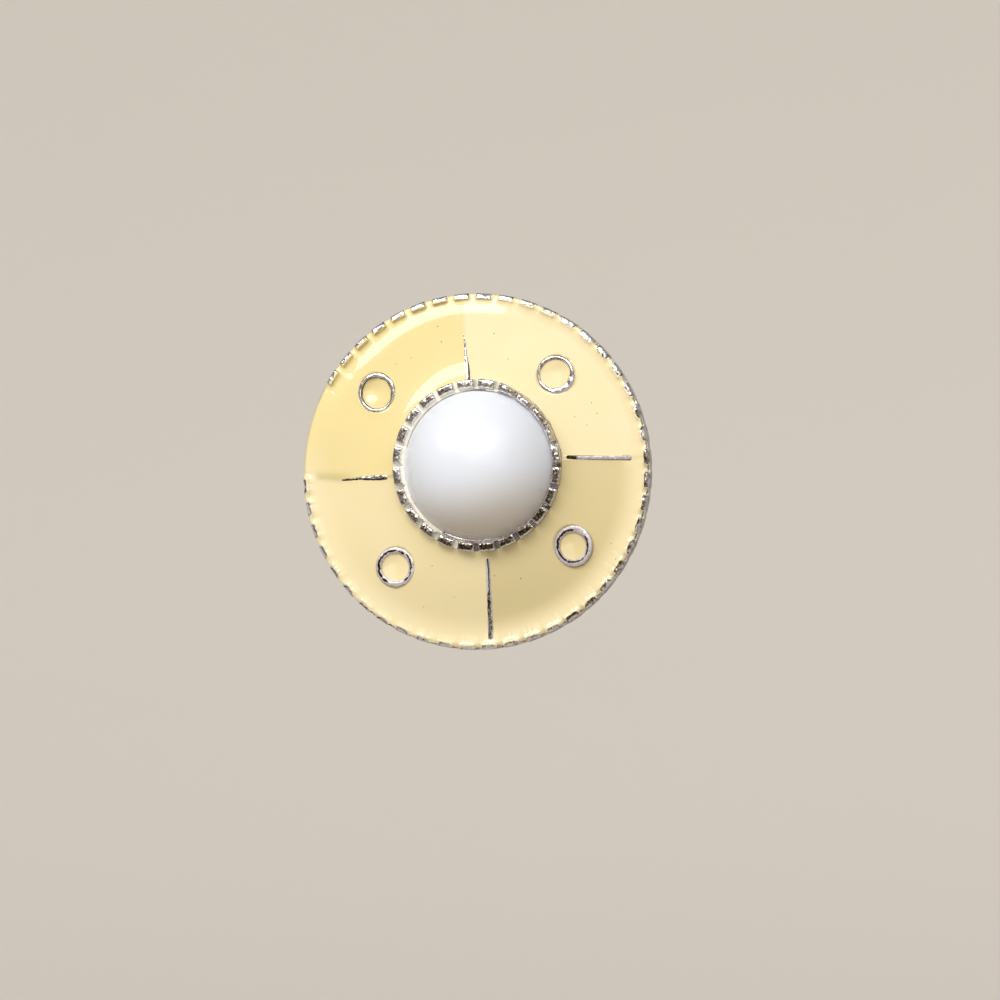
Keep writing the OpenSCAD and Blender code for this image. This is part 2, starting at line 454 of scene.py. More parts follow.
# %% Stainless steel
def drawn_steel():
    line_mm, line_length_mm = 0.05, 2
    across, along = 1 / (line_mm * MM), 1 / (line_length_mm * MM)
    material, tree = new_material("drawn_stainless_steel")
    place = add_node(tree, "ShaderNodeTexCoord").outputs["Object"]
    stretched = add_node(tree, "ShaderNodeMapping", {"Vector": place, "Scale": (across, along, across)})
    lines = add_node(
        tree, "ShaderNodeTexNoise", {"Vector": stretched.outputs[0], "Scale": 1.0, "Detail": 2}
    )
    rough = add_node(
        tree, "ShaderNodeMapRange", {"Value": lines.outputs["Fac"], "To Min": 0.2, "To Max": 0.4}
    )
    surface = add_node(
        tree,
        "ShaderNodeBsdfPrincipled",
        {"Base Color": linear("#C9C8C6"), "Metallic": 1.0, "Roughness": rough.outputs[0]},
    )
    add_node(tree, "ShaderNodeOutputMaterial", {"Surface": surface.outputs[0]})
    return material


steel = drawn_steel()
print(steel.name)


# %% [markdown]
# ## The teeth of the rim
# Square teeth stand round the rim like milling on a coin, and the enamel was poured against them. So
# the metal and the enamel both need to know where each tooth is and how high it stands. No two teeth
# of a casting are alike: seeded random numbers give each one its own lift, its own age and its own
# width of enamel over its inner edge. The seed keeps them the same in every run.

# %% Sizes of the rim
floor_top = 1.0
rim_band = 0.65
tooth_foot_r = disc_r - rim_band
tooth_top = 1.95
tooth_fall = 0.27
RIM_TEETH = 48
RIM_PITCH = 360 / RIM_TEETH
half_rim_tooth = RIM_PITCH / 3
chance = random.Random(48)
TOOTH_LIFT = [chance.uniform(-0.06, 0.05) for _ in range(RIM_TEETH)]
TOOTH_AGE = [chance.uniform(-0.12, 0.12) for _ in range(RIM_TEETH)]
TOOTH_COVER = [chance.uniform(-0.08, 0.12) for _ in range(RIM_TEETH)]


def nearest_tooth(angle):
    """The number of the nearest rim tooth, and how many degrees past its middle the angle lies."""
    number = round(angle / RIM_PITCH)
    return number % RIM_TEETH, angle - number * RIM_PITCH


def in_gap(angle):
    """1 in the gap between two rim teeth, 0 at the teeth."""
    return smooth_step((abs(nearest_tooth(angle)[1]) - 2.2) / 0.8)


tooth_w = 2 * math.radians(half_rim_tooth) * disc_r
print(RIM_TEETH, "teeth,", round(tooth_w, 2), "mm wide, one every", RIM_PITCH, "degrees")


# %% [markdown]
# ## The relief in the enamel
# Four rings and four ridges stand in the enamel, one of each to a quarter. They were meant to be
# alike, but wear and casting made each one different, so each has a row of its own sizes. They
# could be sculpted by hand, but a row of values can be compared with the real thing and corrected
# one by one.

# %% Rings
# Place: angle and reach give the direction and the distance of the centre. Shape: oval is the width
# and the height against a circle, wall is how thick it is, swell and side are how much thicker it
# is on which side, and rough is how uneven it is. Dark lines: crest and edges are how dark the lines
# on the crest and along the edges are (the edge lines are painted dark reflection), line is how far
# in from the middle of the wall the crest line lies and half its width, both in half walls, and dark
# holds the angles between which the lines run. The rest of the wall: flank is how tarnished it is,
# and satin how dull. The drop of enamel inside: low and low_depth are where its lowest point is and
# how deep, sunk is how far its level lies below the field, and bowl is how far it climbs the wall.
RING_R = 2.28
RINGS = {
    "upper_right": dict(
        angle=44.5, reach=14.95, oval=(1.0, 1.0), wall=0.47, swell=0.42, side=290, rough=0.24,
        crest=0.5, edges=0.6, line=(0.25, 0.25), dark=(35, 160), flank=0.0, satin=0.0,
        low=(0.55, 0.45), low_depth=0.2, sunk=0.12, bowl=0.12,
    ),
    "upper_left": dict(
        angle=137, reach=15.05, oval=(0.985, 1.035), wall=0.44, swell=0.2, side=35, rough=0.3,
        crest=0.0, edges=0.85, line=(0.25, 0.2), dark=(0, 360), flank=0.0, satin=0.0,
        low=(-0.55, 0.4), low_depth=0.4, sunk=0.12, bowl=0.08,
    ),
    "lower_left": dict(
        angle=225, reach=14.75, oval=(1.045, 1.04), wall=0.68, swell=0.1, side=20, rough=0.2,
        crest=1.2, edges=0.0, line=(0.08, 0.28), dark=(295, 605), flank=0.15, satin=0.68,
        low=(-0.3, 0.5), low_depth=0.1, sunk=0.3, bowl=0.24,
    ),
    "lower_right": dict(
        angle=319, reach=14.75, oval=(1.025, 1.08), wall=0.76, swell=0.08, side=60, rough=0.08,
        crest=1.4, edges=0.0, line=(0.34, 0.23), dark=(78, 398), flank=0.3, satin=0.68,
        low=(-0.3, 0.5), low_depth=0.1, sunk=0.3, bowl=0.24,
    ),
}
RING_CENTRES = {name: on_face(ring["angle"], ring["reach"]) for name, ring in RINGS.items()}


def ring_reach(name, x, y):
    """Distance from the ring's centre, counted so that its oval outline is a circle again."""
    wide, tall = RINGS[name]["oval"]
    centre = RING_CENTRES[name]
    return math.hypot((x - centre.x) / wide, (y - centre.y) / tall)


for ring_name, ring_centre in RING_CENTRES.items():
    print(ring_name, "ring at", round(ring_centre.x, 1), round(ring_centre.y, 1))

# %% Ridges
# Shape: side is the direction in which it runs, line is where, as (distance from the middle, how
# far aside), widths and heights are its sizes at the inner and the outer end, and rough is how
# uneven it is. Wear: age is how tarnished it is at a share of its length, edges is how dark its
# edges are, lean is how much darker its left flank is, seen from the cup, and satin is how dull the
# metal is. Where a dark line runs along the crest between pale flanks, crest gives it in half
# widths, as (share of the length, half the line's width, how far it is shifted).
RIDGES = {
    "right": dict(
        side=0, line=((11.2, 0.65), (18.95, 0.05)), widths=(0.6, 0.74), heights=(0.12, 0.1), rough=0.25,
        age=((0, 1.2), (0.12, 1.1), (0.2, 0.45), (1, 0.5)),
        edges=0.9, lean=0.0, satin=0.55, crest=None,
    ),
    "upper": dict(
        side=90, line=((10.7, -0.25), (16.4, -0.05)), widths=(0.66, 0.2), heights=(0.2, 0.05), rough=1.0,
        age=((0, 0.3), (0.5, 0.0), (1, 0.3)),
        edges=0.8, lean=0.0, satin=0.0, crest=None,
    ),
    "left": dict(
        side=180, line=((10.3, -0.25), (16.4, -0.37), (19.5, -0.85)),
        widths=(0.74, 0.34), heights=(0.18, 0.04), rough=1.3,
        age=((0, 0.0), (0.5, 0.2), (0.7, 0.7), (1, 0.7)),
        edges=0.6, lean=0.8, satin=0.0, crest=None,
    ),
    "lower": dict(
        side=270, line=((10.2, 0.9), (20, 0.25)), widths=(0.6, 0.78), heights=(0.14, 0.15), rough=0.7,
        age=((0, 1.0), (0.4, 0.95), (0.46, 0.54), (0.96, 0.54), (1, 0.2)),
        edges=0.0, lean=0.0, satin=0.0,
        crest=((0, 0.35, 0.1), (0.1, 0.25, 0.3), (0.4, 0.25, 0.3), (0.46, 0.58, 0), (1, 0.62, 0)),
    ),
}


def ridge_ends(name):
    """The inner and the outer end of a ridge."""
    inner, outer = RIDGES[name]["line"][:2]
    turn = Matrix.Rotation(math.radians(RIDGES[name]["side"]), 3, "Z")
    return turn @ Vector((*inner, 0)), turn @ Vector((*outer, 0))


RIDGE_ENDS = {name: ridge_ends(name) for name in RIDGES}


def along_ridge(name, x, y):
    """How far along the ridge the place is, from 0 to 1, and how far aside of it in mm."""
    inner, outer = RIDGE_ENDS[name]
    run = outer - inner
    to_place = Vector((x, y, 0)) - inner
    share = min(1.0, max(0.0, to_place.dot(run) / run.length_squared))
    return share, (to_place - run * share).length


for ridge_name, (inner_end, outer_end) in RIDGE_ENDS.items():
    print(ridge_name, "ridge", round((outer_end - inner_end).length, 1), "mm long")


# %% [markdown]
# ## The surface of the enamel
# Liquid enamel finds its own shape before it sets. It lies in a flat dome, climbs the wall of the
# cup and every bit of metal that it touches, and falls over a soft shoulder to a thin edge between
# the rim teeth. That shape decides where the gloss shows light. A fluid simulation could make it,
# but not to a hundredth of a millimetre, so it is written down as one height for each place on the
# face, and both the enamel and the ridges that stand in it use it. The four quarters were filled by
# hand, so each has its own level and its own tint.

# %% Levels of the enamel
clearance = 0.03
foot_h = floor_top + clearance
dome_curve_r = 310
dome_mid_r = (cup_r + disc_r) / 2
dome_mid_h = 2.1
dome_peak = dome_mid_h + dome_mid_r**2 / (2 * dome_curve_r)
shoulder_start = disc_r - 3.3
shoulder_w = 3.0
shoulder_drop = 0.66
sag_start_r = 12.5
sag_w = 6
sag_rise = 0.16
cup_climb_length = 1.9
pale_start_r = disc_r - 4.1
pale_w = 2.8

# Quarters: how high the enamel climbs the cup, its level, how full its colour is, how much painted shade
# darkens it
CUP_CLIMB, LEVEL, FULLNESS, SHADE_PAINT = range(4)
QUARTERS = {
    "upper_right": (0.35, 0.06, 0.0, 0.0),
    "upper_left": (1.1, -0.02, 0.36, 0.0),
    "lower_left": (0.8, 0.02, 0.0, 0.02),
    "lower_right": (0.8, -0.04, 0.12, 0.24),
}

# Round the disc, as (angle, mm): how far out past its usual start the rounded shoulder of the upper
# left begins, and how far the enamel sags towards the rim
SHOULDER_OUT = (
    (0, 0.8), (95, 0.7), (112, 0.3), (124, -0.1), (138, -0.1), (148, 0.3), (180, 0.8), (360, 0.8),
)
SAG = ((0, 0.34), (182, 0.34), (212, 0.16), (245, 0.18), (272, 0.34), (360, 0.34))
print("enamel in mid field", dome_mid_h, "mm over the back, dome peak", round(dome_peak, 2))


# %% Where the enamel differs round the disc
def border(name, reach):
    """How far aside the line of a ridge runs at this distance from the middle of the disc."""
    return read_table(RIDGES[name]["line"], reach)


def quarter_mix(x, y, column):
    """A quarter's value at this place, eased over a little more than half a millimetre at the ridges."""
    ease = 0.6
    edge_x = -border("upper", y) if y > 0 else border("lower", -y)
    edge_y = border("right", x) if x > 0 else -border("left", -x)
    right = smooth_step((x - edge_x) / ease + 0.5)
    upper = smooth_step((y - edge_y) / ease + 0.5)
    top = blend((QUARTERS["upper_left"][column], QUARTERS["upper_right"][column]), right)
    low = blend((QUARTERS["lower_left"][column], QUARTERS["lower_right"][column]), right)
    return blend((low, top), upper)


def overfull(angle):
    """1 at the upper left, where the enamel stands over the rim, and 0 where it sags below it."""
    return within(angle, 66, 182, 14, 24)


def flooded(angle):
    """1 where the enamel ran over the rim teeth, 0 elsewhere."""
    return within(angle, 145.2, 177.4, 2.4, 2.4)


def from_cup(x, y):
    """Distance from the wall of the cup in mm."""
    return max(0.0, math.hypot(x - cup_x, y - cup_y) - cup_r)


def thin_and_painted_bright_at_rim(r):
    """0 in the field, 1 at the rim, where the enamel lies thin over the metal; its paler colour there is also
    painted brightness.
    """
    return smooth_step((r - pale_start_r) / pale_w)


flooded_teeth = [number for number in range(RIM_TEETH) if flooded(number * RIM_PITCH) > 0.5]
print(len(flooded_teeth), "teeth lie under the enamel")


# %% Height of the open enamel
def poured_height(x, y):
    """Height of the enamel over the flat back, without what climbs the small relief."""
    r, angle = polar(x, y)
    height = dome_peak - r * r / (2 * dome_curve_r)
    if r > sag_start_r:
        full = overfull(angle)
        later = read_table(SHOULDER_OUT, angle)
        outward = max(0.0, r - shoulder_start)
        rounded = smooth_step((outward - later) / (shoulder_w - 0.6 * later))
        drop = (shoulder_drop - 0.1 * later) * (1 - 0.1 * smooth_step((angle - 136) / 5))
        spilled = within(angle, 142, 184, 12, 12)
        height -= drop * full * (1 - 0.5 * spilled) * rounded
        height -= (1 - full) * read_table(SAG, angle) * smooth_step((r - sag_start_r) / sag_w)
        height += (1 - full) * sag_rise * (outward / (disc_r - shoulder_start)) ** 2
    height += quarter_mix(x, y, CUP_CLIMB) * math.exp(-from_cup(x, y) / cup_climb_length)
    height += quarter_mix(x, y, LEVEL)
    place = Vector((x, y, 0))
    return height + 0.02 * wobble(place, 6) + 0.006 * wobble(place, 2, 7.0)


for reach in (12, 16, 20):
    place = on_face(135, reach)
    print("upper left,", reach, "mm out:", round(poured_height(place.x, place.y), 2))


# %% [markdown]
# ## The tint of the enamel
# Resin is a little see-through, so its colour is fuller where it lies deep and paler where it runs
# thin over the metal at the rim; that paler rim is also painted brightness for the light that the
# enamel rising to the rim catches. Painted shade darkens the lower right most and the lower half
# more than the upper. It also darkens the enamel beside the cup at its lower right, as the cup's
# painted shadow, along the buried end of the left ridge, and in the low gaps of the rim. A texture
# could be painted for this, but values worked out from the same places as the shape always stay
# in register with it.

# %% Depth and stains
def enamel_depth(x, y):
    """How full the colour is. It is paler where the enamel lies thin against the rim, partly as painted
    brightness.
    """
    r, angle = polar(x, y)
    thin = thin_and_painted_bright_at_rim(r) * (1 - overfull(angle))
    return quarter_mix(x, y, FULLNESS) * (1 - 0.8 * thin) - 0.12 * thin


def buried_ridge_shade(x, y):
    """Painted shade along the buried end of the left ridge, sharper on the line's lower side."""
    past_ridge = smooth_step((-x - 13.5) / 3) * smooth_step((20 + x) / 1.2)
    above_line = y + border("left", -x) - 0.1
    line_w = 0.7 if above_line > 0 else 0.35
    return 0.32 * past_ridge * math.exp(-((above_line / line_w) ** 2))


def enamel_painted_shade(x, y):
    """How far painted shade darkens the enamel, from 0 to about a half."""
    r, angle = polar(x, y)
    # Painted shade: darker towards the bottom, on top of each quarter's own painted shade
    low_half_shade = 0.16 * smooth_step((-y - 5) / 12)
    shade_sum = (quarter_mix(x, y, SHADE_PAINT) + low_half_shade) * (1 - 0.92 * thin_and_painted_bright_at_rim(r))
    # Painted shadow of the cup on the enamel at its lower right
    cup_shadow_side = smooth_step(0.2 - (y - x) / 20)
    shade_sum += 0.12 * math.exp(-from_cup(x, y) / 1.3) * cup_shadow_side
    shade_sum += buried_ridge_shade(x, y)
    # Painted shade in the low gaps between the rim teeth, from the bottom round to the right
    if r > tooth_foot_r - 0.3:
        gap_shade = in_gap(angle) * smooth_step((angle - 245) / 20)
        shade_sum += 0.35 * gap_shade * smooth_step((r - tooth_foot_r + 0.3) / 0.4)
    return shade_sum


# Painted shade at the upper left and at the lower right
print("stain at the upper left", round(enamel_painted_shade(-11, 11), 2))
print("stain at the lower right", round(enamel_painted_shade(11, -11), 2))


# %% [markdown]
# ## Where the enamel meets the rim teeth
# Wet enamel clings to metal. At each tooth it climbs the wall, creeps a little way over the inner
# edge, and leaves the rest of the top bare. At the left it ran right over four teeth. The bare
# outline is never straight, so it gets a smooth random wander. All of it is worked out from one
# distance, that to the nearest tooth, which is a common way to blend a liquid into a solid.

# %% Tops of the teeth
# Round the disc, as (angle, value): how much of a tooth's inner side the enamel covers in mm, and
# over what length it climbs to the teeth in mm
COVERED = (
    (0, 0.0), (45, 0.12), (68, 0.16), (84, 0.12), (146, 0.2),
    (178, 0.14), (245, 0.22), (275, 0.18), (300, 0), (360, 0),
)
CLIMB_OVER = ((0, 0.26), (180, 0.28), (235, 0.34), (258, 0.5), (325, 0.5), (345, 0.26), (360, 0.26))
corner_r = 0.34
top_round = 0.18
top_round_fall = 0.1
flooded_fall = 0.6


def tooth_surface(x, y):
    """Height of a rim tooth's top at this place, rounded at its edges and a little uneven."""
    r, angle = polar(x, y)
    number, turned = nearest_tooth(angle)
    aside = math.radians(abs(turned) - half_rim_tooth) * r
    from_edge = min(disc_r - r, r - tooth_foot_r, -aside)
    across = (r - tooth_foot_r) / rim_band
    height = tooth_top + TOOTH_LIFT[number] - tooth_fall * across
    height -= top_round_fall * max(0.0, 1 - max(-0.05, from_edge) / top_round) ** 2
    height -= flooded_fall * flooded(angle)
    lumps = 0.07 * (1 - smooth_step(across)) * (1 - overfull(angle)) + 0.05
    place = Vector((x, y, 0))
    return height + 0.05 * wobble(place, 0.6, 3.0) + lumps * wobble(place, 0.33, 73.0)


def tooth_distance(x, y, covered):
    """How far the place is from the nearest rim tooth's outline with round corners, in mm. It is below
    0 on the tooth. The outline is drawn in on its inner side by the width that enamel has covered."""
    r, angle = polar(x, y)
    turned = nearest_tooth(angle)[1]
    half_w = math.radians(half_rim_tooth) * disc_r - 0.04 - 0.5 * covered
    aside = math.radians(abs(turned)) * r - half_w + corner_r
    inward = tooth_foot_r + covered - r + corner_r
    return math.hypot(max(0.0, aside), max(0.0, inward)) + min(0.0, max(aside, inward)) - corner_r


def bare_distance(x, y):
    """How far the place is from the bare top of a tooth, whose edge is uneven where enamel crept on."""
    angle = polar(x, y)[1]
    covered = read_table(COVERED, angle) + TOOTH_COVER[nearest_tooth(angle)[0]]
    off = tooth_distance(x, y, max(0.0, covered))
    wander = 0.14 * math.exp(-max(0.0, off) / 0.2)
    return off + wander * wobble(Vector((x, y, 0)), 0.45, 71.0)


print("a tooth's top in its middle:", round(tooth_surface(disc_r - rim_band / 2, 0), 2), "mm over the back")


# %% Climb of the enamel
rim_edge_w = 0.45
rim_climb = 0.34
rim_film = 0.015
ridge_climb_length = 0.35
ring_climb = 0.05
ring_climb_length = 0.3
under_drop = 0.7


def climb_rim(x, y, height):
    """The enamel's height where it climbs a rim tooth, covers its inner edge, and leaves its top bare."""
    r, angle = polar(x, y)
    turned = nearest_tooth(angle)[1]
    off_bare = bare_distance(x, y)
    off_tooth = tooth_distance(x, y, 0)
    half = half_rim_tooth - 0.3
    near_r = min(disc_r - 0.1, max(r, tooth_foot_r + 0.1))
    near_turn = math.radians(angle - turned + max(-half, min(half, turned)))
    top = tooth_surface(near_r * math.cos(near_turn), near_r * math.sin(near_turn))
    full = overfull(angle)
    off_tooth += full * max(0.0, off_bare - off_tooth)
    covers = smooth_step((off_bare - off_tooth) / 0.1)
    wall = min(top + rim_film, height + rim_climb + 0.3 * covers)
    dry = 1 - flooded(angle)
    if off_bare <= 0:
        return height + (wall - height + 2.5 * max(off_bare, -0.12)) * dry
    length = read_table(CLIMB_OVER, angle) + 0.18 * full
    height += (wall - height) * math.exp(-max(0.0, min(off_bare, off_tooth)) / length) * dry
    if abs(turned) < half_rim_tooth and r > tooth_foot_r:
        height = max(height, tooth_surface(x, y) + 0.02)
    return height


def climb_relief(x, y):
    """How far the enamel climbs the ridges and the rings. Inside a ring it is let down out of sight."""
    climb = 0.0
    for name, ridge in RIDGES.items():
        share, aside = along_ridge(name, x, y)
        if aside < 2:
            climb += 0.6 * blend(ridge["heights"], share) * math.exp(-aside / ridge_climb_length)
    for name in RINGS:
        off = ring_reach(name, x, y) - RING_R
        if off > 0:
            climb += ring_climb * math.exp(-off / ring_climb_length)
        else:
            climb -= under_drop * smooth_step(-off / 0.3)
    return climb


def enamel_height(x, y):
    """Height of the enamel over the flat back, at any place between the cup and the rim."""
    r, angle = polar(x, y)
    height = poured_height(x, y)
    if r <= shoulder_start:
        return height + climb_relief(x, y)
    to_edge = max(0.0, r - (disc_r - rim_edge_w)) / rim_edge_w
    return climb_rim(x, y, height) - (0.14 + 0.3 * flooded(angle)) * to_edge * to_edge


print("enamel in mid field", round(enamel_height(-14, 5), 2), "mm over the back")
print("enamel at the cup", round(enamel_height(cup_x - cup_r, 0), 2), "mm over the back")


# %% [markdown]
# ## The outline of the rim
# Seen from the front, a cast rim is never a true circle. The right side is a little notched at the
# gaps, and outside its teeth, and those of the lower right, a plain lip of metal runs round. The
# enamel ends inside that lip, and at the lower right it stops short of the rim in the gaps. The
# metal and the enamel share these functions, so they always fit each other.

# %% Reach of the metal and the enamel
def outer_lip(angle):
    """1 at the right and the lower right, where a plain lip of metal runs round outside the teeth."""
    return smooth_step((math.cos(math.radians(angle + 30)) - 0.58) / 0.12)


def rim_reach(angle):
    """How far the rim stands out of a true circle, in mm."""
    notched = in_gap(angle) * smooth_step(0.5 + math.cos(math.radians(angle)))
    return 0.045 * wobble(on_face(angle, disc_r), 1.9, 5.0) - 0.05 * notched


def enamel_reach(angle):
    """How far out from the middle the enamel ends."""
    lower_right = smooth_step(0.75 + math.cos(math.radians(angle - 320)))
    short_by = (0.2 + 0.2 * wobble(on_face(angle, disc_r), 0.8, 79.0)) * in_gap(angle)
    short = short_by * max(outer_lip(angle), lower_right)
    return disc_r - 0.04 + rim_reach(angle) - max(0.13 * outer_lip(angle), short)


def shallow(angle):
    """1 at the cup's upper right, where its teeth are worn narrower and its flutes are shallow."""
    return within(angle, 4, 68, 12, 12)


for angle in (135, 315, 318.75):
    print("the enamel ends at", round(enamel_reach(angle), 2), "mm at", angle, "degrees")


# %% [markdown]
# ## The enamel as a skin
# A spun profile gives an even grid round the disc. Its points are then slid so that the inner edge
# follows the cup, which sits about a millimetre off centre, and lifted to the height above. A
# displacement map could lift them too, but it can't slide them. The rows lie closer together at the
# rim, where the surface bends most round the teeth.

# %% Build the enamel
ENAMEL_STEPS = 1152
INNER_ROWS = 44
RIM_ROWS = 26
RIM_SHARE = 0.86


def enamel_skin():
    bm = bmesh.new()
    rows = [RIM_SHARE * i / INNER_ROWS for i in range(INNER_ROWS)]
    rows += [RIM_SHARE + (1 - RIM_SHARE) * i / RIM_ROWS for i in range(RIM_ROWS + 1)]
    top = [(1 + row, 1.0) for row in rows]
    spin_profile(bm, top + [(2, 0), (1, 0)], ENAMEL_STEPS, closed=True)
    depth, painted_shading = point_values(bm, "depth", "painted_shading")
    for vert in bm.verts:
        share = math.hypot(vert.co.x, vert.co.y) - 1
        turn = math.atan2(vert.co.y, vert.co.x)
        angle = math.degrees(turn) % 360
        heading = Vector((math.cos(turn), math.sin(turn), 0))
        inner = Vector((cup_x, cup_y, 0)) + heading * (cup_r - 0.02 - 0.25 * shallow(angle))
        place = inner.lerp(heading * enamel_reach(angle), share)
        is_top = vert.co.z > 0.5
        vert[depth] = enamel_depth(place.x, place.y)
        vert[painted_shading] = enamel_painted_shade(place.x, place.y)
        vert.co = (place.x, place.y, enamel_height(place.x, place.y) if is_top else foot_h)
    return finish_piece(bm, "poured_enamel", [enamel], ["enamel_field"], crease=70)


enamel_skin()


# %% [markdown]
# ## Drops of enamel in the rings
# Each ring holds its own drop. It clings to the ring's wall, so it is hollow like a small dish, and
# the lowest point is seldom in the middle, because the disc lay a little askew as it set. A flat
# disc would do from afar, but the dish is what mirrors the window as a small bright crescent. Its
# colour is that of the quarter round it.

# %% Build the drops
def enamel_drop(name):
    drop_rows = 20
    drop_steps = 64
    drop_thick = 0.6
    low_curve_r = 2.2
    centre = RING_CENTRES[name]
    ring = RINGS[name]
    wide, tall = ring["oval"]
    drop_r = RING_R - 0.5 * ring["wall"]
    level = poured_height(centre.x, centre.y) - ring["sunk"]
    lowest = centre + Vector((*ring["low"], 0))
    bm = bmesh.new()
    profile = [(drop_r * i / drop_rows, level) for i in range(drop_rows + 1)]
    profile += [(drop_r, level - drop_thick), (0, level - drop_thick)]
    spin_profile(bm, profile, drop_steps, centre=centre)
    depth, painted_shading = point_values(bm, "depth", "painted_shading")
    for vert in bm.verts:
        spoke = Vector((vert.co.x - centre.x, vert.co.y - centre.y, 0))
        vert.co.x = centre.x + spoke.x * wide
        vert.co.y = centre.y + spoke.y * tall
        if vert.co.z > level - 0.1:
            from_low = (vert.co.x - lowest.x) ** 2 + (vert.co.y - lowest.y) ** 2
            vert.co.z -= ring["low_depth"] * math.exp(-from_low / (2 * low_curve_r * ring["low_depth"]))
            vert.co.z += ring["bowl"] * (spoke.length / drop_r) ** 2
        vert[depth] = enamel_depth(vert.co.x, vert.co.y)
        # The drop takes a little less of the painted shade of the field round it
        vert[painted_shading] = 0.6 * enamel_painted_shade(vert.co.x, vert.co.y)
    return finish_piece(bm, "enamel_drop_" + name, [enamel], ["enamel_dot_" + name], crease=60)


for ring_name in RINGS:
    enamel_drop(ring_name)


# %% [markdown]
# ## Specks
# A few grains of dust were caught in the skin as it set. Dust is dry and dull, so it shows as dark
# brown pinpricks in the gloss. Each is a small flattened ball, sunk in the enamel to its middle. They
# are listed one by one and not scattered, because there are so few of them.

# %% Dark specks
# Each speck's angle and distance from the middle
SPECKS = (
    (100, 15.8), (115, 15.5), (122, 15.9), (100, 17.7), (68, 13.8), (77, 16.4), (25, 16.2), (20, 16.2),
    (23, 13.7), (17, 14.6), (256, 15.0), (244, 17.1), (241, 12.2), (277, 12.5), (289.5, 13.75),
    (328, 18.4), (324, 19.8),
)
speck_h = 0.02


def dust_specks():
    material, tree = new_material("dust_caught_in_enamel")
    surface = add_node(
        tree, "ShaderNodeBsdfPrincipled", {"Base Color": linear("#5A452B"), "Roughness": 0.5}
    )
    add_node(tree, "ShaderNodeOutputMaterial", {"Surface": surface.outputs[0]})
    bm = bmesh.new()
    for angle, reach in SPECKS:
        place = on_face(angle, reach)
        place.z = enamel_height(place.x, place.y)
        long = chance.uniform(0.05, 0.1)
        short = chance.uniform(0.04, 0.07)
        turned = Matrix.Rotation(chance.uniform(0, math.pi), 4, "Z")
        shape = Matrix.Translation(place) @ turned @ Matrix.Diagonal((long, short, speck_h, 1))
        bmesh.ops.create_icosphere(bm, subdivisions=2, radius=1, matrix=shape)
    return finish_piece(bm, "dust_specks", [material], [])


dust_specks()


# %% [markdown]
# ## The disc and its rim teeth
# The disc is one spun section. Two thirds of each pitch are extruded, which gives the square teeth
# of the rim in one step and keeps the casting one closed solid. Separate blocks could be set on the
# rim, but they would leave seams that a casting hasn't. At the right and the lower right the
# outermost row is raised too, as the plain lip outside the teeth. A bevel rounds the teeth, and
# their tops then follow the same uneven surface that the enamel was made to climb.

# %% Helpers for raising teeth
def raise_faces(bm, faces, height):
    """Extrudes the faces straight up to the height and returns the new ones."""
    raised = bmesh.ops.extrude_face_region(bm, geom=faces)["geom"]
    bmesh.ops.delete(bm, geom=faces, context="FACES")
    for item in raised:
        if isinstance(item, bmesh.types.BMVert):
            item.co.z = height
    return [item for item in raised if isinstance(item, bmesh.types.BMFace)]


def round_outline(bm, faces, offset):
    """Bevels the edges that run round the outside of some faces."""
    group = set(faces)
    outline = [edge for edge in bm.edges if sum(face in group for face in edge.link_faces) == 1]
    bmesh.ops.bevel(
        bm,
        geom=outline,
        offset=offset,
        segments=3,
        profile=0.5,
        affect="EDGES",
        material=-1,
        clamp_overlap=True,
    )


trial = bmesh.new()
bmesh.ops.create_grid(trial, x_segments=1, y_segments=1, size=1)
raise_faces(trial, list(trial.faces), 1)
print("a raised square has", len(trial.faces), "faces")
trial.free()


# %% Shape of the disc
lip_w = 0.17
lip_fall = 0.06
STEPS_PER_PITCH = 18


def disc_shape():
    """The disc with square teeth that are still all alike."""
    back_round = 0.35
    band_rows = 5
    bm = bmesh.new()
    arc = [math.radians(a) for a in (0, 30, 60, 90)]
    # The points at 7, 14 and 10 mm only keep the flat faces from being long and thin
    section = [(0, 0), (7, 0), (14, 0)]
    section += [(disc_r - back_round * (1 - math.sin(a)), back_round * (1 - math.cos(a))) for a in arc]
    section += [(disc_r, 0.65), (disc_r, floor_top)]
    band = rim_band - lip_w
    section += [(disc_r - lip_w - band * i / band_rows, floor_top) for i in range(band_rows + 1)]
    section += [(10, floor_top), (0, floor_top)]
    spin_profile(bm, section, RIM_TEETH * STEPS_PER_PITCH, start=-math.radians(half_rim_tooth))

    def in_tooth(face):
        middle = face.calc_center_median()
        r, angle = polar(middle.x, middle.y)
        on_floor = middle.z > floor_top - 0.01 and tooth_foot_r < r < disc_r - 0.03
        on_lip = r > disc_r - lip_w and outer_lip(angle) > 0.5
        return on_floor and (on_lip or abs(nearest_tooth(angle)[1]) < half_rim_tooth)

    teeth = raise_faces(bm, [face for face in bm.faces if in_tooth(face)], tooth_top)
    round_outline(bm, teeth, offset=0.08)
    print(len(teeth), "faces on the teeth and the lip")
    return bm


disc_mesh = disc_shape()


# %% [markdown]
# ## Wear on the disc
# The metal is darkest in a thin line along the edge where a tooth meets the enamel, and the inner
# half of each top is darkened too, partly as tarnish and partly as painted dark reflection. At the
# left and the lower left the tops are dull as well, and so is the lip, where the plating has gone in
# patches. The back lies against the skin: it has no pits that show, and is left plain satin silver.

# %% Wear the disc
# Round the disc, as (angle, value): how dark a tooth is in a line along the enamel, and on its inner
# half, where tarnish and painted dark reflection darken it
DARK_LINE = (
    (0, 0.7), (45, 0.5), (80, 0.5), (146, 0.6), (180, 0.8), (245, 0.8), (265, 0.4), (300, 0.6), (360, 0.7),
)
DARK_INNER = (
    (0, 0.7), (40, 0.5), (70, 0.3), (146, 0.15), (180, 0.3), (250, 0.1), (280, 0.3), (300, 0.7), (360, 0.7),
)


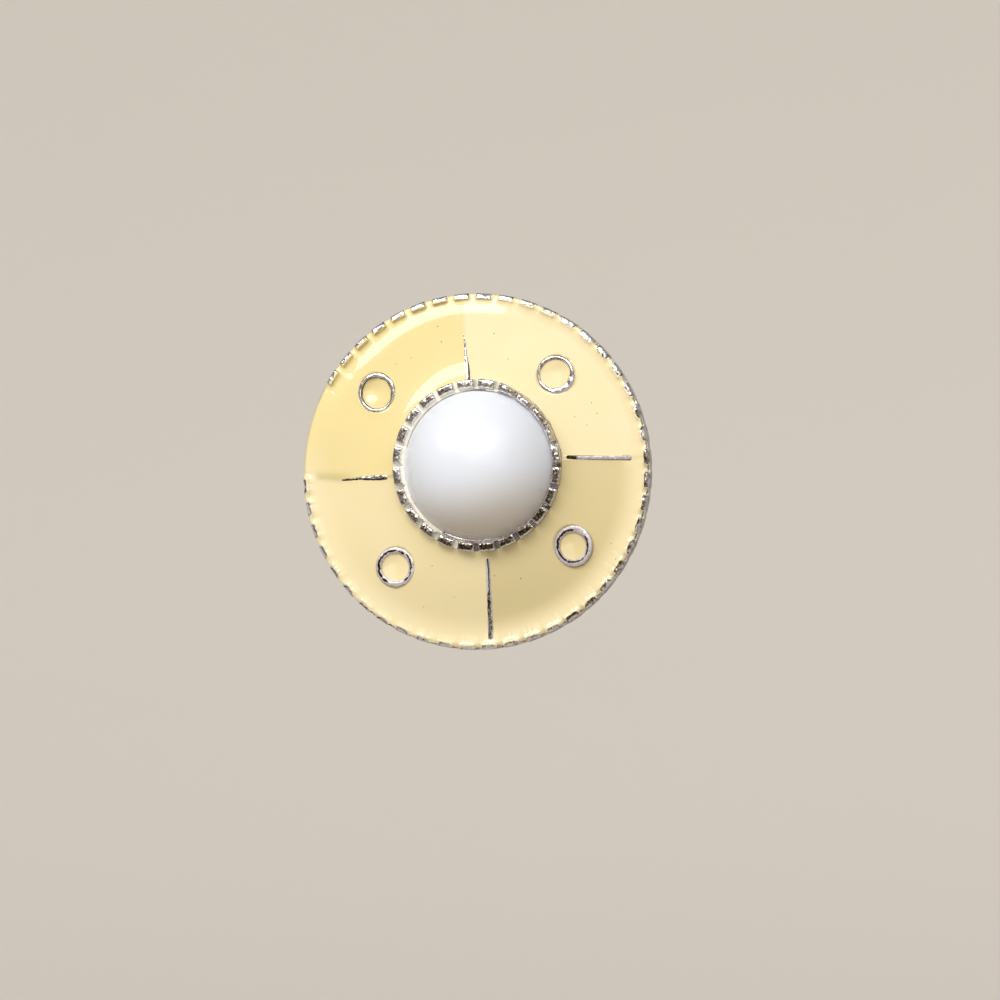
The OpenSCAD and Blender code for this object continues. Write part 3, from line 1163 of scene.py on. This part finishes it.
def tooth_wear_and_painted_dark(place, r, angle, lip):
    """How dark and how dull the top of a tooth, or of the lip, is at this place, from tarnish and painted
    dark reflection.
    """
    dull_side = within(angle, 172, 275, 10, 20)
    off_line = bare_distance(place.x, place.y) + 0.06 + 0.08 * dull_side
    streak = math.exp(-((off_line / 0.08) ** 2))
    # The inner half of the top is darkened as tarnish and as painted dark reflection
    inner = smooth_step((tooth_foot_r + 0.55 - r) / 0.3) * smooth_step(0.5 + 2.5 * wobble(place, 0.4, 83.0))
    worn = read_table(DARK_LINE, angle) * streak * (1 + 1.2 * wobble(place, 0.35, 93.0))
    worn = max(worn, read_table(DARK_INNER, angle) * inner)
    tooth_tarnish = worn + TOOTH_AGE[nearest_tooth(angle)[0]] - 0.1 * overfull(angle)
    lip_tarnish = 0.2 + 0.8 * wobble(place, 0.5, 101.0)
    return blend((tooth_tarnish, lip_tarnish), lip), dull_side * (1 - min(1.0, 1.3 * streak))


def cast_disc(bm):
    tarnish_and_painted_dark, satin = point_values(bm, "tarnish_and_painted_dark", "satin")
    for vert in bm.verts:
        r, angle = polar(vert.co.x, vert.co.y)
        lip = outer_lip(angle) * smooth_step((r - disc_r + lip_w + 0.02) / 0.04)
        on_back = vert.co.z < 0.05
        vert[tarnish_and_painted_dark] = -0.1 if on_back else 0.2
        vert[satin] = 0.3 if on_back else (0.5 + 0.6 * wobble(vert.co, 0.6, 103.0)) * lip
        if vert.co.z > floor_top + 0.3:
            vert.co.z += tooth_surface(vert.co.x, vert.co.y) - tooth_top - lip_fall * lip
            vert[tarnish_and_painted_dark], dull = tooth_wear_and_painted_dark(vert.co, r, angle, lip)
            vert[satin] = max(vert[satin], dull)
        if r > disc_r - 0.5:
            push = 1 + rim_reach(angle) / disc_r * smooth_step((r - disc_r + 0.5) / 0.4)
            vert.co.x *= push
            vert.co.y *= push
    return finish_piece(bm, "cast_disc", [casting], ["disc_plate"], crease=40)


cast_disc(disc_mesh)


# %% [markdown]
# ## Rings
# A ring stands in the enamel with its foot on the floor of the casting. It is a small closed section
# spun about the ring's own axis, and each point is then moved in or out, because the real wall
# swells to one side. A torus would be as quick, but its section is round at the foot too. The dark
# lines along the edges of the wall are painted dark reflection, of what its steep sides would mirror,
# and the dark line along the crest darkens the metal there.

# %% Wear of a ring
def ring_wear_and_painted_dark(ring, place, on_circle, angle, across, is_upper):
    """How dark and how dull a ring is, its edge lines being painted dark reflection. across runs from -1 at
    the inner edge to 1 at the outer.
    """
    dark_from, dark_to = ring["dark"]
    span = dark_to - dark_from
    into_dark = (angle - dark_from) % 360
    gate = smooth_step(min(into_dark, span - into_dark) / 12 + (span >= 360))
    inward, half_w = ring["line"]
    inward += 1.2 * ring["rough"] * wobble(on_circle, 0.9, 61.0)
    half_w += 0.07 * math.cos(math.radians(angle - 200))
    half_w += (0.18 + ring["rough"]) * wobble(place, 0.3, 63.0)
    crest_line = ring["crest"] * smooth_step((half_w - abs(across + inward)) / 0.2 + 0.5) * is_upper
    # Painted dark reflection along both steep edges of the wall
    edge_lines = ring["edges"] * smooth_step((abs(across) - 0.62) / 0.3)
    tarnish_and_painted_dark = gate * (crest_line + edge_lines) + ring["flank"] + 0.2 * wobble(place, 0.5, 17.0)
    pale = 1 - min(1.0, gate * crest_line)
    return tarnish_and_painted_dark, ring["satin"] * pale * (1 + 0.3 * wobble(place, 0.8, 89.0))


crest_wear = ring_wear_and_painted_dark(RINGS["lower_left"], on_face(0, 1), on_face(0, 2), 0, 0, True)
print("tarnish and satin on a ring's crest:", [round(value, 2) for value in crest_wear])


# %% Build the rings
def cast_ring(name):
    section_steps = 28
    ring_steps = 120
    centre = RING_CENTRES[name]
    ring = RINGS[name]
    wide, tall = ring["oval"]
    level = poured_height(centre.x, centre.y)
    bm = bmesh.new()
    turns = [math.tau * i / section_steps for i in range(section_steps)]
    section = [(RING_R + math.cos(turn), math.sin(turn)) for turn in turns]
    spin_profile(bm, section, ring_steps, closed=True, centre=centre)
    tarnish_and_painted_dark, satin = point_values(bm, "tarnish_and_painted_dark", "satin")
    for vert in bm.verts:
        spoke = Vector((vert.co.x - centre.x, vert.co.y - centre.y, 0))
        heading = spoke.normalized()
        on_circle = centre + heading * 2
        angle = math.degrees(math.atan2(spoke.y, spoke.x))
        across = spoke.length - RING_R
        up = vert.co.z
        swell = ring["swell"] * max(0.0, math.cos(math.radians(angle - ring["side"])))
        wall = (ring["wall"] + swell) * (1 + ring["rough"] * wobble(on_circle, 0.6, 11.0))
        mid_r = RING_R - ring["wall"] / 2 - 0.2 * swell
        place = heading * (mid_r + 0.5 * wall * across)
        vert.co = centre + Vector((place.x * wide, place.y * tall, 0))
        stands = 0.2 + 0.1 * swell + 0.3 * ring["rough"] * wobble(vert.co, 0.7, 13.0)
        vert.co.z = level + stands * up if up > -0.2 else foot_h
        vert[tarnish_and_painted_dark], vert[satin] = ring_wear_and_painted_dark(ring, vert.co, on_circle, angle, across, up > 0)
    return finish_piece(bm, "cast_ring_" + name, [casting], [], crease=60)


for ring_name in RINGS:
    cast_ring(ring_name)


# %% [markdown]
# ## Ridges
# A ridge is a low bar from the cup towards the rim, worn thin where a cloth has rubbed it. It starts
# as a flat grid with a wall let down from its edge to the floor. The grid is then arched across and
# laid on the height of the enamel, so it keeps its rise over the enamel wherever that climbs or
# sags. A swept curve would be simpler, but its width couldn't wander.

# %% Wear of a ridge
def ridge_wear(ridge, share, side, middle, place):
    """How tarnished and how dull a ridge is. side runs from -1 at its right edge to 1 at its left."""
    edge_lines = ridge["edges"] * smooth_step((abs(side) - 0.55) / 0.3)
    off_crest = 0.0
    if ridge["crest"]:
        shift = read_table(ridge["crest"], share, 2)
        from_line = abs(side - shift + 0.2 * wobble(middle, 0.7, 97.0))
        off_crest = smooth_step((from_line - read_table(ridge["crest"], share) + 0.1) / 0.25)
    age = read_table(ridge["age"], share) * (1 - off_crest)
    age += ridge["lean"] * smooth_step((side - 0.1) / 0.4)
    tarnish_and_painted_dark = max(age, edge_lines) + 0.25 * ridge["rough"] * wobble(place, 0.35, 37.0)
    return tarnish_and_painted_dark, max(off_crest, ridge["satin"] * smooth_step((0.8 - tarnish_and_painted_dark) / 0.25))


crest_wear = ridge_wear(RIDGES["lower"], 0.5, 0, Vector(), Vector())
print("tarnish and satin on a ridge's crest:", [round(value, 2) for value in crest_wear])


# %% Build the ridges
def cast_ridge(name):
    step_mm = 0.1
    ridge_rows = 10
    ridge = RIDGES[name]
    inner, outer = RIDGE_ENDS[name]
    run = outer - inner
    along = run.normalized()
    across = Vector((-along.y, along.x, 0))
    bm = bmesh.new()
    bmesh.ops.create_grid(bm, x_segments=int(run.length / step_mm), y_segments=ridge_rows, size=0.5)
    top_edges = [edge for edge in bm.edges if edge.is_boundary]
    for item in bmesh.ops.extrude_edge_only(bm, edges=top_edges)["geom"]:
        if isinstance(item, bmesh.types.BMVert):
            item.co.z = -1
    bmesh.ops.holes_fill(bm, edges=[edge for edge in bm.edges if edge.is_boundary], sides=0)
    tarnish_and_painted_dark, satin = point_values(bm, "tarnish_and_painted_dark", "satin")
    for vert in bm.verts:
        share = vert.co.x + 0.5
        side = 2 * vert.co.y
        is_foot = vert.co.z < -0.5
        middle = inner + run * share
        from_end = min(share, 1 - share) * run.length
        width = blend(ridge["widths"], share) * (1 + 0.2 * ridge["rough"] * wobble(middle, 0.6, 23.0))
        width *= math.sqrt(smooth_step(0.15 + from_end / 0.35))
        bend = 0.05 * ridge["rough"] * wobble(middle, 1.3, 31.0)
        place = middle + across * (0.5 * side * width + bend)
        stands = blend(ridge["heights"], share) * (1 + 0.5 * ridge["rough"] * wobble(place, 0.45, 29.0))
        arch = 0.2 * side**4 + 0.15 * (1 - smooth_step(from_end / 0.25))
        top = poured_height(middle.x, middle.y) + stands - arch
        vert.co = (place.x, place.y, foot_h if is_foot else top)
        vert[tarnish_and_painted_dark], vert[satin] = ridge_wear(ridge, share, side, middle, place)
    return finish_piece(bm, "cast_ridge_" + name, [casting], [], crease=50)


for ridge_name in RIDGES:
    cast_ridge(ridge_name)


# %% [markdown]
# ## The serrated cup
# The cup was cast apart from the disc, and it sits about a millimetre off its centre. Its teeth are
# square pillows round a thin plain collar, whose lip is pressed against the stone. Two extrusions
# build it: the first lifts the collar and the teeth out of the flutes, and the second lifts the teeth
# over the collar. A bevel then rounds each tooth. On the left side enamel crept into the flutes and
# over the lip, so the faces there take the thin enamel, whose paler colour is partly a painted
# highlight.

# %% Sizes of the cup
CUP_TEETH = 24
CUP_PITCH = 360 / CUP_TEETH
cup_turn = 3.0
half_cup_tooth = CUP_PITCH * 7 / 18
flute_floor = cup_top - 1.25
collar_in_r = stone_r + 0.06
collar_out_r = collar_in_r + 0.08
collar_top = 3.2
dome_h = 6.0
cap_r = (stone_r**2 + dome_h**2) / (2 * dome_h)
crept_from, flutes_to, lip_to = 70, 262, 238


def cup_polar(place):
    """Distance from the cup's axis, angle round it, and angle from the nearest tooth's middle."""
    r, angle = polar(place.x - cup_x, place.y - cup_y)
    return r, angle, abs((angle - cup_turn + CUP_PITCH / 2) % CUP_PITCH - CUP_PITCH / 2)


def lip_point(angle, share):
    """A point across the lip, where share is 0 against the stone and 1 at the teeth."""
    turn = math.radians(angle)
    lip_r = 8.78 + 0.17 * math.cos(turn)
    lip_outer_h = 3.3
    on_stone = stone_top - cap_r + math.sqrt(cap_r**2 - (lip_r - 0.02) ** 2)
    r = blend((lip_r, collar_out_r), share)
    bead = 0.1 * math.exp(-(((share - 0.4) / 0.15) ** 2))
    falls = on_stone + 0.03 + (lip_outer_h - on_stone) * share
    filled = within(angle, 60, 250, 20, 20)
    brimful = within(angle, 85, 210, 15, 20)
    falls += (0.35 + 0.25 * brimful) * filled * smooth_step(share / 0.2)
    return Vector((cup_x + r * math.cos(turn), cup_y + r * math.sin(turn), falls + bead))


print("the lip's inner edge at the left:", round(lip_point(180, 0).z, 2), "mm over the back")


# %% Shape of the cup
def cup_section():
    """The cup's outline from the axis at its seat to the axis under the stone, without teeth."""
    band = cup_r - collar_out_r
    band_rows = 8
    collar = collar_out_r - collar_in_r
    collar_rows = 6
    section = [(0, cup_seat), (cup_r - 0.1, cup_seat), (cup_r, cup_seat + 0.1)]
    section += [(cup_r - band * i / band_rows, flute_floor) for i in range(band_rows)]
    section += [(collar_out_r - collar * i / collar_rows, flute_floor) for i in range(collar_rows + 1)]
    return section + [(collar_in_r, stone_seat), (0, stone_seat)]


def fill_flutes(faces):
    """Sets the floor of the flutes and their material: enamel where it crept in, bare metal elsewhere."""
    for vert in {vert for face in faces for vert in face.verts}:
        _, angle, aside = cup_polar(vert.co)
        hollow = smooth_step((aside - half_cup_tooth) / (CUP_PITCH / 2 - half_cup_tooth))
        if crept_from < angle < flutes_to:
            turn = math.radians(angle)
            wall_r = cup_r + 0.02
            poured = enamel_height(cup_x + wall_r * math.cos(turn), cup_y + wall_r * math.sin(turn))
            vert.co.z = poured + 0.15 * (1 - hollow)
        else:
            vert.co.z = flute_floor + 0.2 - 0.2 * hollow + 0.6 * shallow(angle)
    for face in faces:
        angle = cup_polar(face.calc_center_median())[1]
        face.material_index = 1 if crept_from < angle < flutes_to else 0


def cup_shape():
    """The cup before its teeth are worn, with the material numbers set on its faces."""
    bm = bmesh.new()
    start = math.radians(cup_turn - half_cup_tooth)
    spin_profile(bm, cup_section(), CUP_TEETH * STEPS_PER_PITCH, start=start, centre=(cup_x, cup_y, 0))
    places = {face: cup_polar(face.calc_center_median()) for face in bm.faces}
    level = [
        face
        for face in bm.faces
        if abs(face.calc_center_median().z - flute_floor) < 0.01 and places[face][0] > collar_in_r
    ]
    flutes = [face for face in level if places[face][0] > collar_out_r and places[face][2] > half_cup_tooth]
    fill_flutes(flutes)
    in_flutes = set(flutes)
    raised = raise_faces(bm, [face for face in level if face not in in_flutes], collar_top)
    tooth_faces = [face for face in raised if cup_polar(face.calc_center_median())[0] > collar_out_r]
    lip_faces = [face for face in raised if face not in tooth_faces]
    for face in lip_faces:
        angle = cup_polar(face.calc_center_median())[1]
        face.material_index = 1 if crept_from < angle < lip_to else 0
    teeth = raise_faces(bm, tooth_faces, cup_top)
    for vert in {vert for face in lip_faces for vert in face.verts}:
        r, angle, _ = cup_polar(vert.co)
        vert.co = lip_point(angle, (r - collar_in_r) / (collar_out_r - collar_in_r))
    round_outline(bm, teeth, offset=0.1)
    print(len(flutes), "faces in the flutes,", len(teeth), "on the teeth")
    return bm


cup_mesh = cup_shape()


# %% [markdown]
# ## Wear on the cup
# The teeth were cast with too little metal, so their tops are lumpy. Their tops are darkened, partly
# by tarnish in the pits and partly as painted dark reflection, more at the bottom than at the top.
# At the upper right they are worn narrower and lower, and their worn outer edge there is darkened as
# painted shade. Noise moves the points and sets the tarnish. A noise that is read off the tooth's
# number, and not off the place, tilts or ages a whole tooth at once.

# %% Wear the teeth and finish the cup
# Round the cup, as (angle, value): how dark the teeth's tops are, from tarnish and painted dark reflection,
# and how lumpy
CUP_AGE_AND_PAINTED_DARK = (
    (0, 0.45), (15, 0.3), (60, 0.25), (80, 0.35), (110, 0.5),
    (200, 0.5), (245, 0.65), (268, 0.9), (325, 0.85), (360, 0.45),
)
CUP_LUMPS = ((0, 0.2), (80, 0.14), (110, 0.08), (300, 0.08), (345, 0.2), (360, 0.2))
worn_band = 0.45


def serrated_cup(bm):
    tarnish_and_painted_dark, satin = point_values(bm, "tarnish_and_painted_dark", "satin")
    for vert in bm.verts:
        place = vert.co.copy()
        r, angle, aside = cup_polar(place)
        number = round((angle - cup_turn) / CUP_PITCH) % CUP_TEETH
        tooth_seed = Vector((number * 3.7, 0, 0))
        vert[tarnish_and_painted_dark] = -0.25 + 0.2 * wobble(place, 0.5, 67.0)
        if r > cup_r - worn_band and place.z > cup_seat + 0.2:
            narrower = 0.25 * shallow(angle) * (r - cup_r + worn_band) / worn_band
            vert.co.x -= narrower * (place.x - cup_x) / r
            vert.co.y -= narrower * (place.y - cup_y) / r
        if place.z < cup_top - 0.35:
            in_flute = r > collar_out_r + 0.02
            vert[satin] = 0.2 if in_flute else 0.35
            vert[tarnish_and_painted_dark] += 0.65 if in_flute else 0.3 + 0.3 * smooth_step((angle - 270) / 20)
            continue
        from_edge = min(cup_r - r, r - collar_out_r, math.radians(half_cup_tooth - aside) * r)
        inside = smooth_step((from_edge - 0.05) / 0.16)
        worn = shallow(angle) * smooth_step((r - cup_r + worn_band) / 0.3)
        vert.co.z -= 0.17 * max(0.0, 1 - from_edge / 0.34) ** 2 + 0.3 * worn
        vert.co.z += 0.05 * wobble(tooth_seed, 1.0, 41.0)
        vert.co.z += read_table(CUP_LUMPS, angle) * inside * wobble(place, 0.3, 43.0)
        vert.co.x += 0.05 * wobble(place, 0.7, 47.0)
        vert.co.y += 0.05 * wobble(place, 0.7, 53.0)
        # Tarnish and painted dark reflection on the tops, more at the bottom; the worn outer edge at the
        # upper right is darkened as painted shade
        vert[tarnish_and_painted_dark] = read_table(CUP_AGE_AND_PAINTED_DARK, angle) * inside + 0.2 * wobble(tooth_seed, 1.0, 59.0) + 0.2 * worn
    return finish_piece(bm, "serrated_cup", [casting, thin_enamel_and_painted_sheen], ["stone_cup"], crease=40)


serrated_cup(cup_mesh)


# %% [markdown]
# ## The stone
# A round cabochon is a short straight edge and a cap of a sphere. A sphere could be cut and
# squashed, but spinning its outline gives the true cap, and a small rounding at the seat, as
# tumbling leaves it.

# %% Build the stone
def cabochon():
    cap_rows = 40
    stone_steps = 128
    seat_round = 0.1
    bm = bmesh.new()
    girdle = stone_top - dome_h
    cap_turn = math.asin(stone_r / cap_r)
    outline = []
    for i in range(cap_rows + 1):
        turn = cap_turn * i / cap_rows
        outline.append((cap_r * math.sin(turn), stone_top - cap_r * (1 - math.cos(turn))))
    outline += [(stone_r, girdle - 0.3), (stone_r, stone_seat + seat_round)]
    outline += [(stone_r - seat_round, stone_seat), (0, stone_seat)]
    spin_profile(bm, outline, stone_steps, centre=(cup_x, cup_y, 0))
    [painted_shading] = point_values(bm, "painted_shading")
    for vert in bm.verts:
        # Painted shade, rising towards the bottom of the stone
        below = cup_y - 0.5 - vert.co.y + 0.12 * (vert.co.x - cup_x)
        vert[painted_shading] = smooth_step(below / 7.5)
    return finish_piece(bm, "white_cabochon", [resin], ["cabochon"], crease=50)


cabochon()


# %% [markdown]
# ## The post
# The hidden post is a plain stud: a stamped pad glued to the back and a straight wire with a round
# end. One spun outline makes both, with only its edges softened. It is drawn along its own axis and
# has no use for the matrix of the face, so it gets a turn of its own.

# %% Build the post
def ear_stud():
    pad_r = (post_high.x - post_low.x) / 2 / MM
    pad_front = post_low.y / MM
    tip = post_high.y / MM
    wire_r = 0.4
    soft = 0.12
    end_rows = 6
    outline = [(0, pad_front), (pad_r - soft, pad_front), (pad_r, pad_front + soft)]
    outline += [(pad_r, -soft), (pad_r - soft, 0)]
    outline += [(wire_r + 0.25, 0), (wire_r + 0.08, 0.06), (wire_r, 0.25), (wire_r, tip - wire_r)]
    for i in range(1, end_rows):
        turn = math.radians(90 * i / end_rows)
        outline.append((wire_r * math.cos(turn), tip - wire_r + wire_r * math.sin(turn)))
    outline.append((0, tip))
    bm = bmesh.new()
    spin_profile(bm, outline, 48)
    upright = Matrix.Rotation(math.radians(-90), 4, "X") @ Matrix.Scale(MM, 4)
    return finish_piece(bm, "ear_stud", [steel], ["ear_post"], place=upright, crease=50)


ear_stud()


# %% [markdown]
# ## A plain studio
# The earring is held up in the air over a pale floor that curves up all round, like a photographer's
# sweep, so that no horizon shows. Its matt paint scatters light evenly, so it shows no reflection
# of its own and only a soft shade. It is a spun outline like the pieces, though it isn't part of
# the object.

# %% Build the sweep
def pale_sweep():
    material, tree = new_material("matt_pale_paint")
    surface = add_node(
        tree, "ShaderNodeBsdfPrincipled", {"Base Color": linear("#DED6CA"), "Roughness": 0.9}
    )
    add_node(tree, "ShaderNodeOutputMaterial", {"Surface": surface.outputs[0]})
    floor_z, flat_r, rise = -0.3, 1.0, 1.1
    curve = [math.radians(a) for a in range(0, 91, 10)]
    outline = [(0, floor_z), (0.4, floor_z)]
    outline += [(flat_r + rise * math.sin(a), floor_z + rise * (1 - math.cos(a))) for a in curve]
    bm = bmesh.new()
    spin_profile(bm, outline, 96)
    bmesh.ops.reverse_faces(bm, faces=bm.faces)
    for face in bm.faces:
        face.smooth = True
    mesh = bpy.data.meshes.new("sweep")
    bm.to_mesh(mesh)
    bm.free()
    mesh.materials.append(material)
    sweep = bpy.data.objects.new("sweep", mesh)
    bpy.context.scene.collection.objects.link(sweep)
    print("sweep", round(2 * (flat_r + rise), 1), "m across")


pale_sweep()

# %% [markdown]
# ## Camera
# The camera stands a little to the right of the face and a little below it, and is rolled by a few
# degrees, as the earring hangs askew in its picture. A long lens keeps the disc nearly as round as
# it is. The camera is aimed beside the disc, so that the disc lands on its place in the picture
# without any shift of the lens.

# %% Place the camera
camera_distance = 600
view_azimuth, view_elevation, view_roll = 13.4, -2.0, 4.5
pixels_per_mm = 8.5
picture_px = 1000
disc_px = Vector((474.5, 471.5))


def axes_matrix(right, up, back):
    """The turn of a camera or a light from its three directions."""
    return Matrix((right, up, back)).transposed().to_4x4()


def place_camera():
    azimuth, elevation, roll = (math.radians(a) for a in (view_azimuth, view_elevation, view_roll))
    level = math.cos(elevation)
    back = Vector((math.sin(azimuth) * level, -math.cos(azimuth) * level, math.sin(elevation)))
    level_right = Vector((math.cos(azimuth), math.sin(azimuth), 0))
    level_up = back.cross(level_right)
    right = level_right * math.cos(roll) - level_up * math.sin(roll)
    up = level_right * math.sin(roll) + level_up * math.cos(roll)
    target = FACE @ Vector((0, 0, 2))
    stand = target + back * camera_distance * MM
    aside = (picture_px / 2 - disc_px.x) / pixels_per_mm * MM
    below = (picture_px / 2 - disc_px.y) / pixels_per_mm * MM
    look_at = target + right * aside - up * below
    axis_back = (stand - look_at).normalized()
    axis_right = up.cross(axis_back).normalized()
    axis_up = axis_back.cross(axis_right)
    data = bpy.data.cameras.new("camera")
    data.sensor_width = 36
    data.lens = data.sensor_width * camera_distance * pixels_per_mm / picture_px
    data.clip_start = 0.05
    data.clip_end = 20
    camera = bpy.data.objects.new("camera", data)
    camera.matrix_world = Matrix.Translation(stand) @ axes_matrix(axis_right, axis_up, axis_back)
    bpy.context.scene.collection.objects.link(camera)
    bpy.context.scene.camera = camera
    print("lens", round(data.lens, 1))
    return target, axis_right, axis_up, axis_back


aim, view_right, view_up, view_back = place_camera()


# %% [markdown]
# ## Light
# The places of the lights are given as directions in the picture: to the right, up, and towards the
# camera. That way, each light is put where its reflection is wanted. One long soft light at the
# upper left, like a window, makes the bands of light on the enamel. A wide, weak fill above the
# camera keeps the metal from going black, and a third light is turned away from the earring, to
# brighten the sweep behind it. Point lights would be simpler, but gloss shows a light's shape.
# The world adds a weak, slightly blue daylight from all sides.

# %% Build the lights
def soft_light(name, direction, distance, size, radiance, away=False):
    """A rectangular light, its long side level in the picture, that faces the disc or away from it."""
    right, up, back = direction
    to_light = (view_right * right + view_up * up + view_back * back).normalized()
    behind = -to_light if away else to_light
    level = view_up.cross(behind).normalized()
    data = bpy.data.lights.new(name, "AREA")
    data.shape = "RECTANGLE"
    data.size, data.size_y = size
    data.energy = radiance * math.pi * size[0] * size[1]
    light = bpy.data.objects.new(name, data)
    turn = axes_matrix(level, behind.cross(level), behind)
    light.matrix_world = Matrix.Translation(aim + to_light * distance) @ turn
    bpy.context.scene.collection.objects.link(light)
    print(name, round(data.energy, 2), "W")
    return light


soft_light("window", direction=(-0.42, 0.62, 0.66), distance=0.4, size=(0.54, 0.145), radiance=5.8)
soft_light("fill", direction=(0, 0.6, 1), distance=1.2, size=(1.3, 1.3), radiance=1.2)
backdrop_light = soft_light(
    "backdrop light", direction=(0, 0.28, -0.8), distance=1.0, size=(1.8, 0.8), radiance=2.0, away=True
)
backdrop_light.visible_camera = False

# %% Set the daylight
world = bpy.data.worlds.new("studio")
world.use_nodes = True
daylight = world.node_tree.nodes["Background"]
daylight.inputs["Color"].default_value = linear("#F2F4F7")
daylight.inputs["Strength"].default_value = 0.32
bpy.context.scene.world = world
bpy.context.scene.view_settings.view_transform = "Standard"
print("daylight strength", round(daylight.inputs["Strength"].default_value, 2))
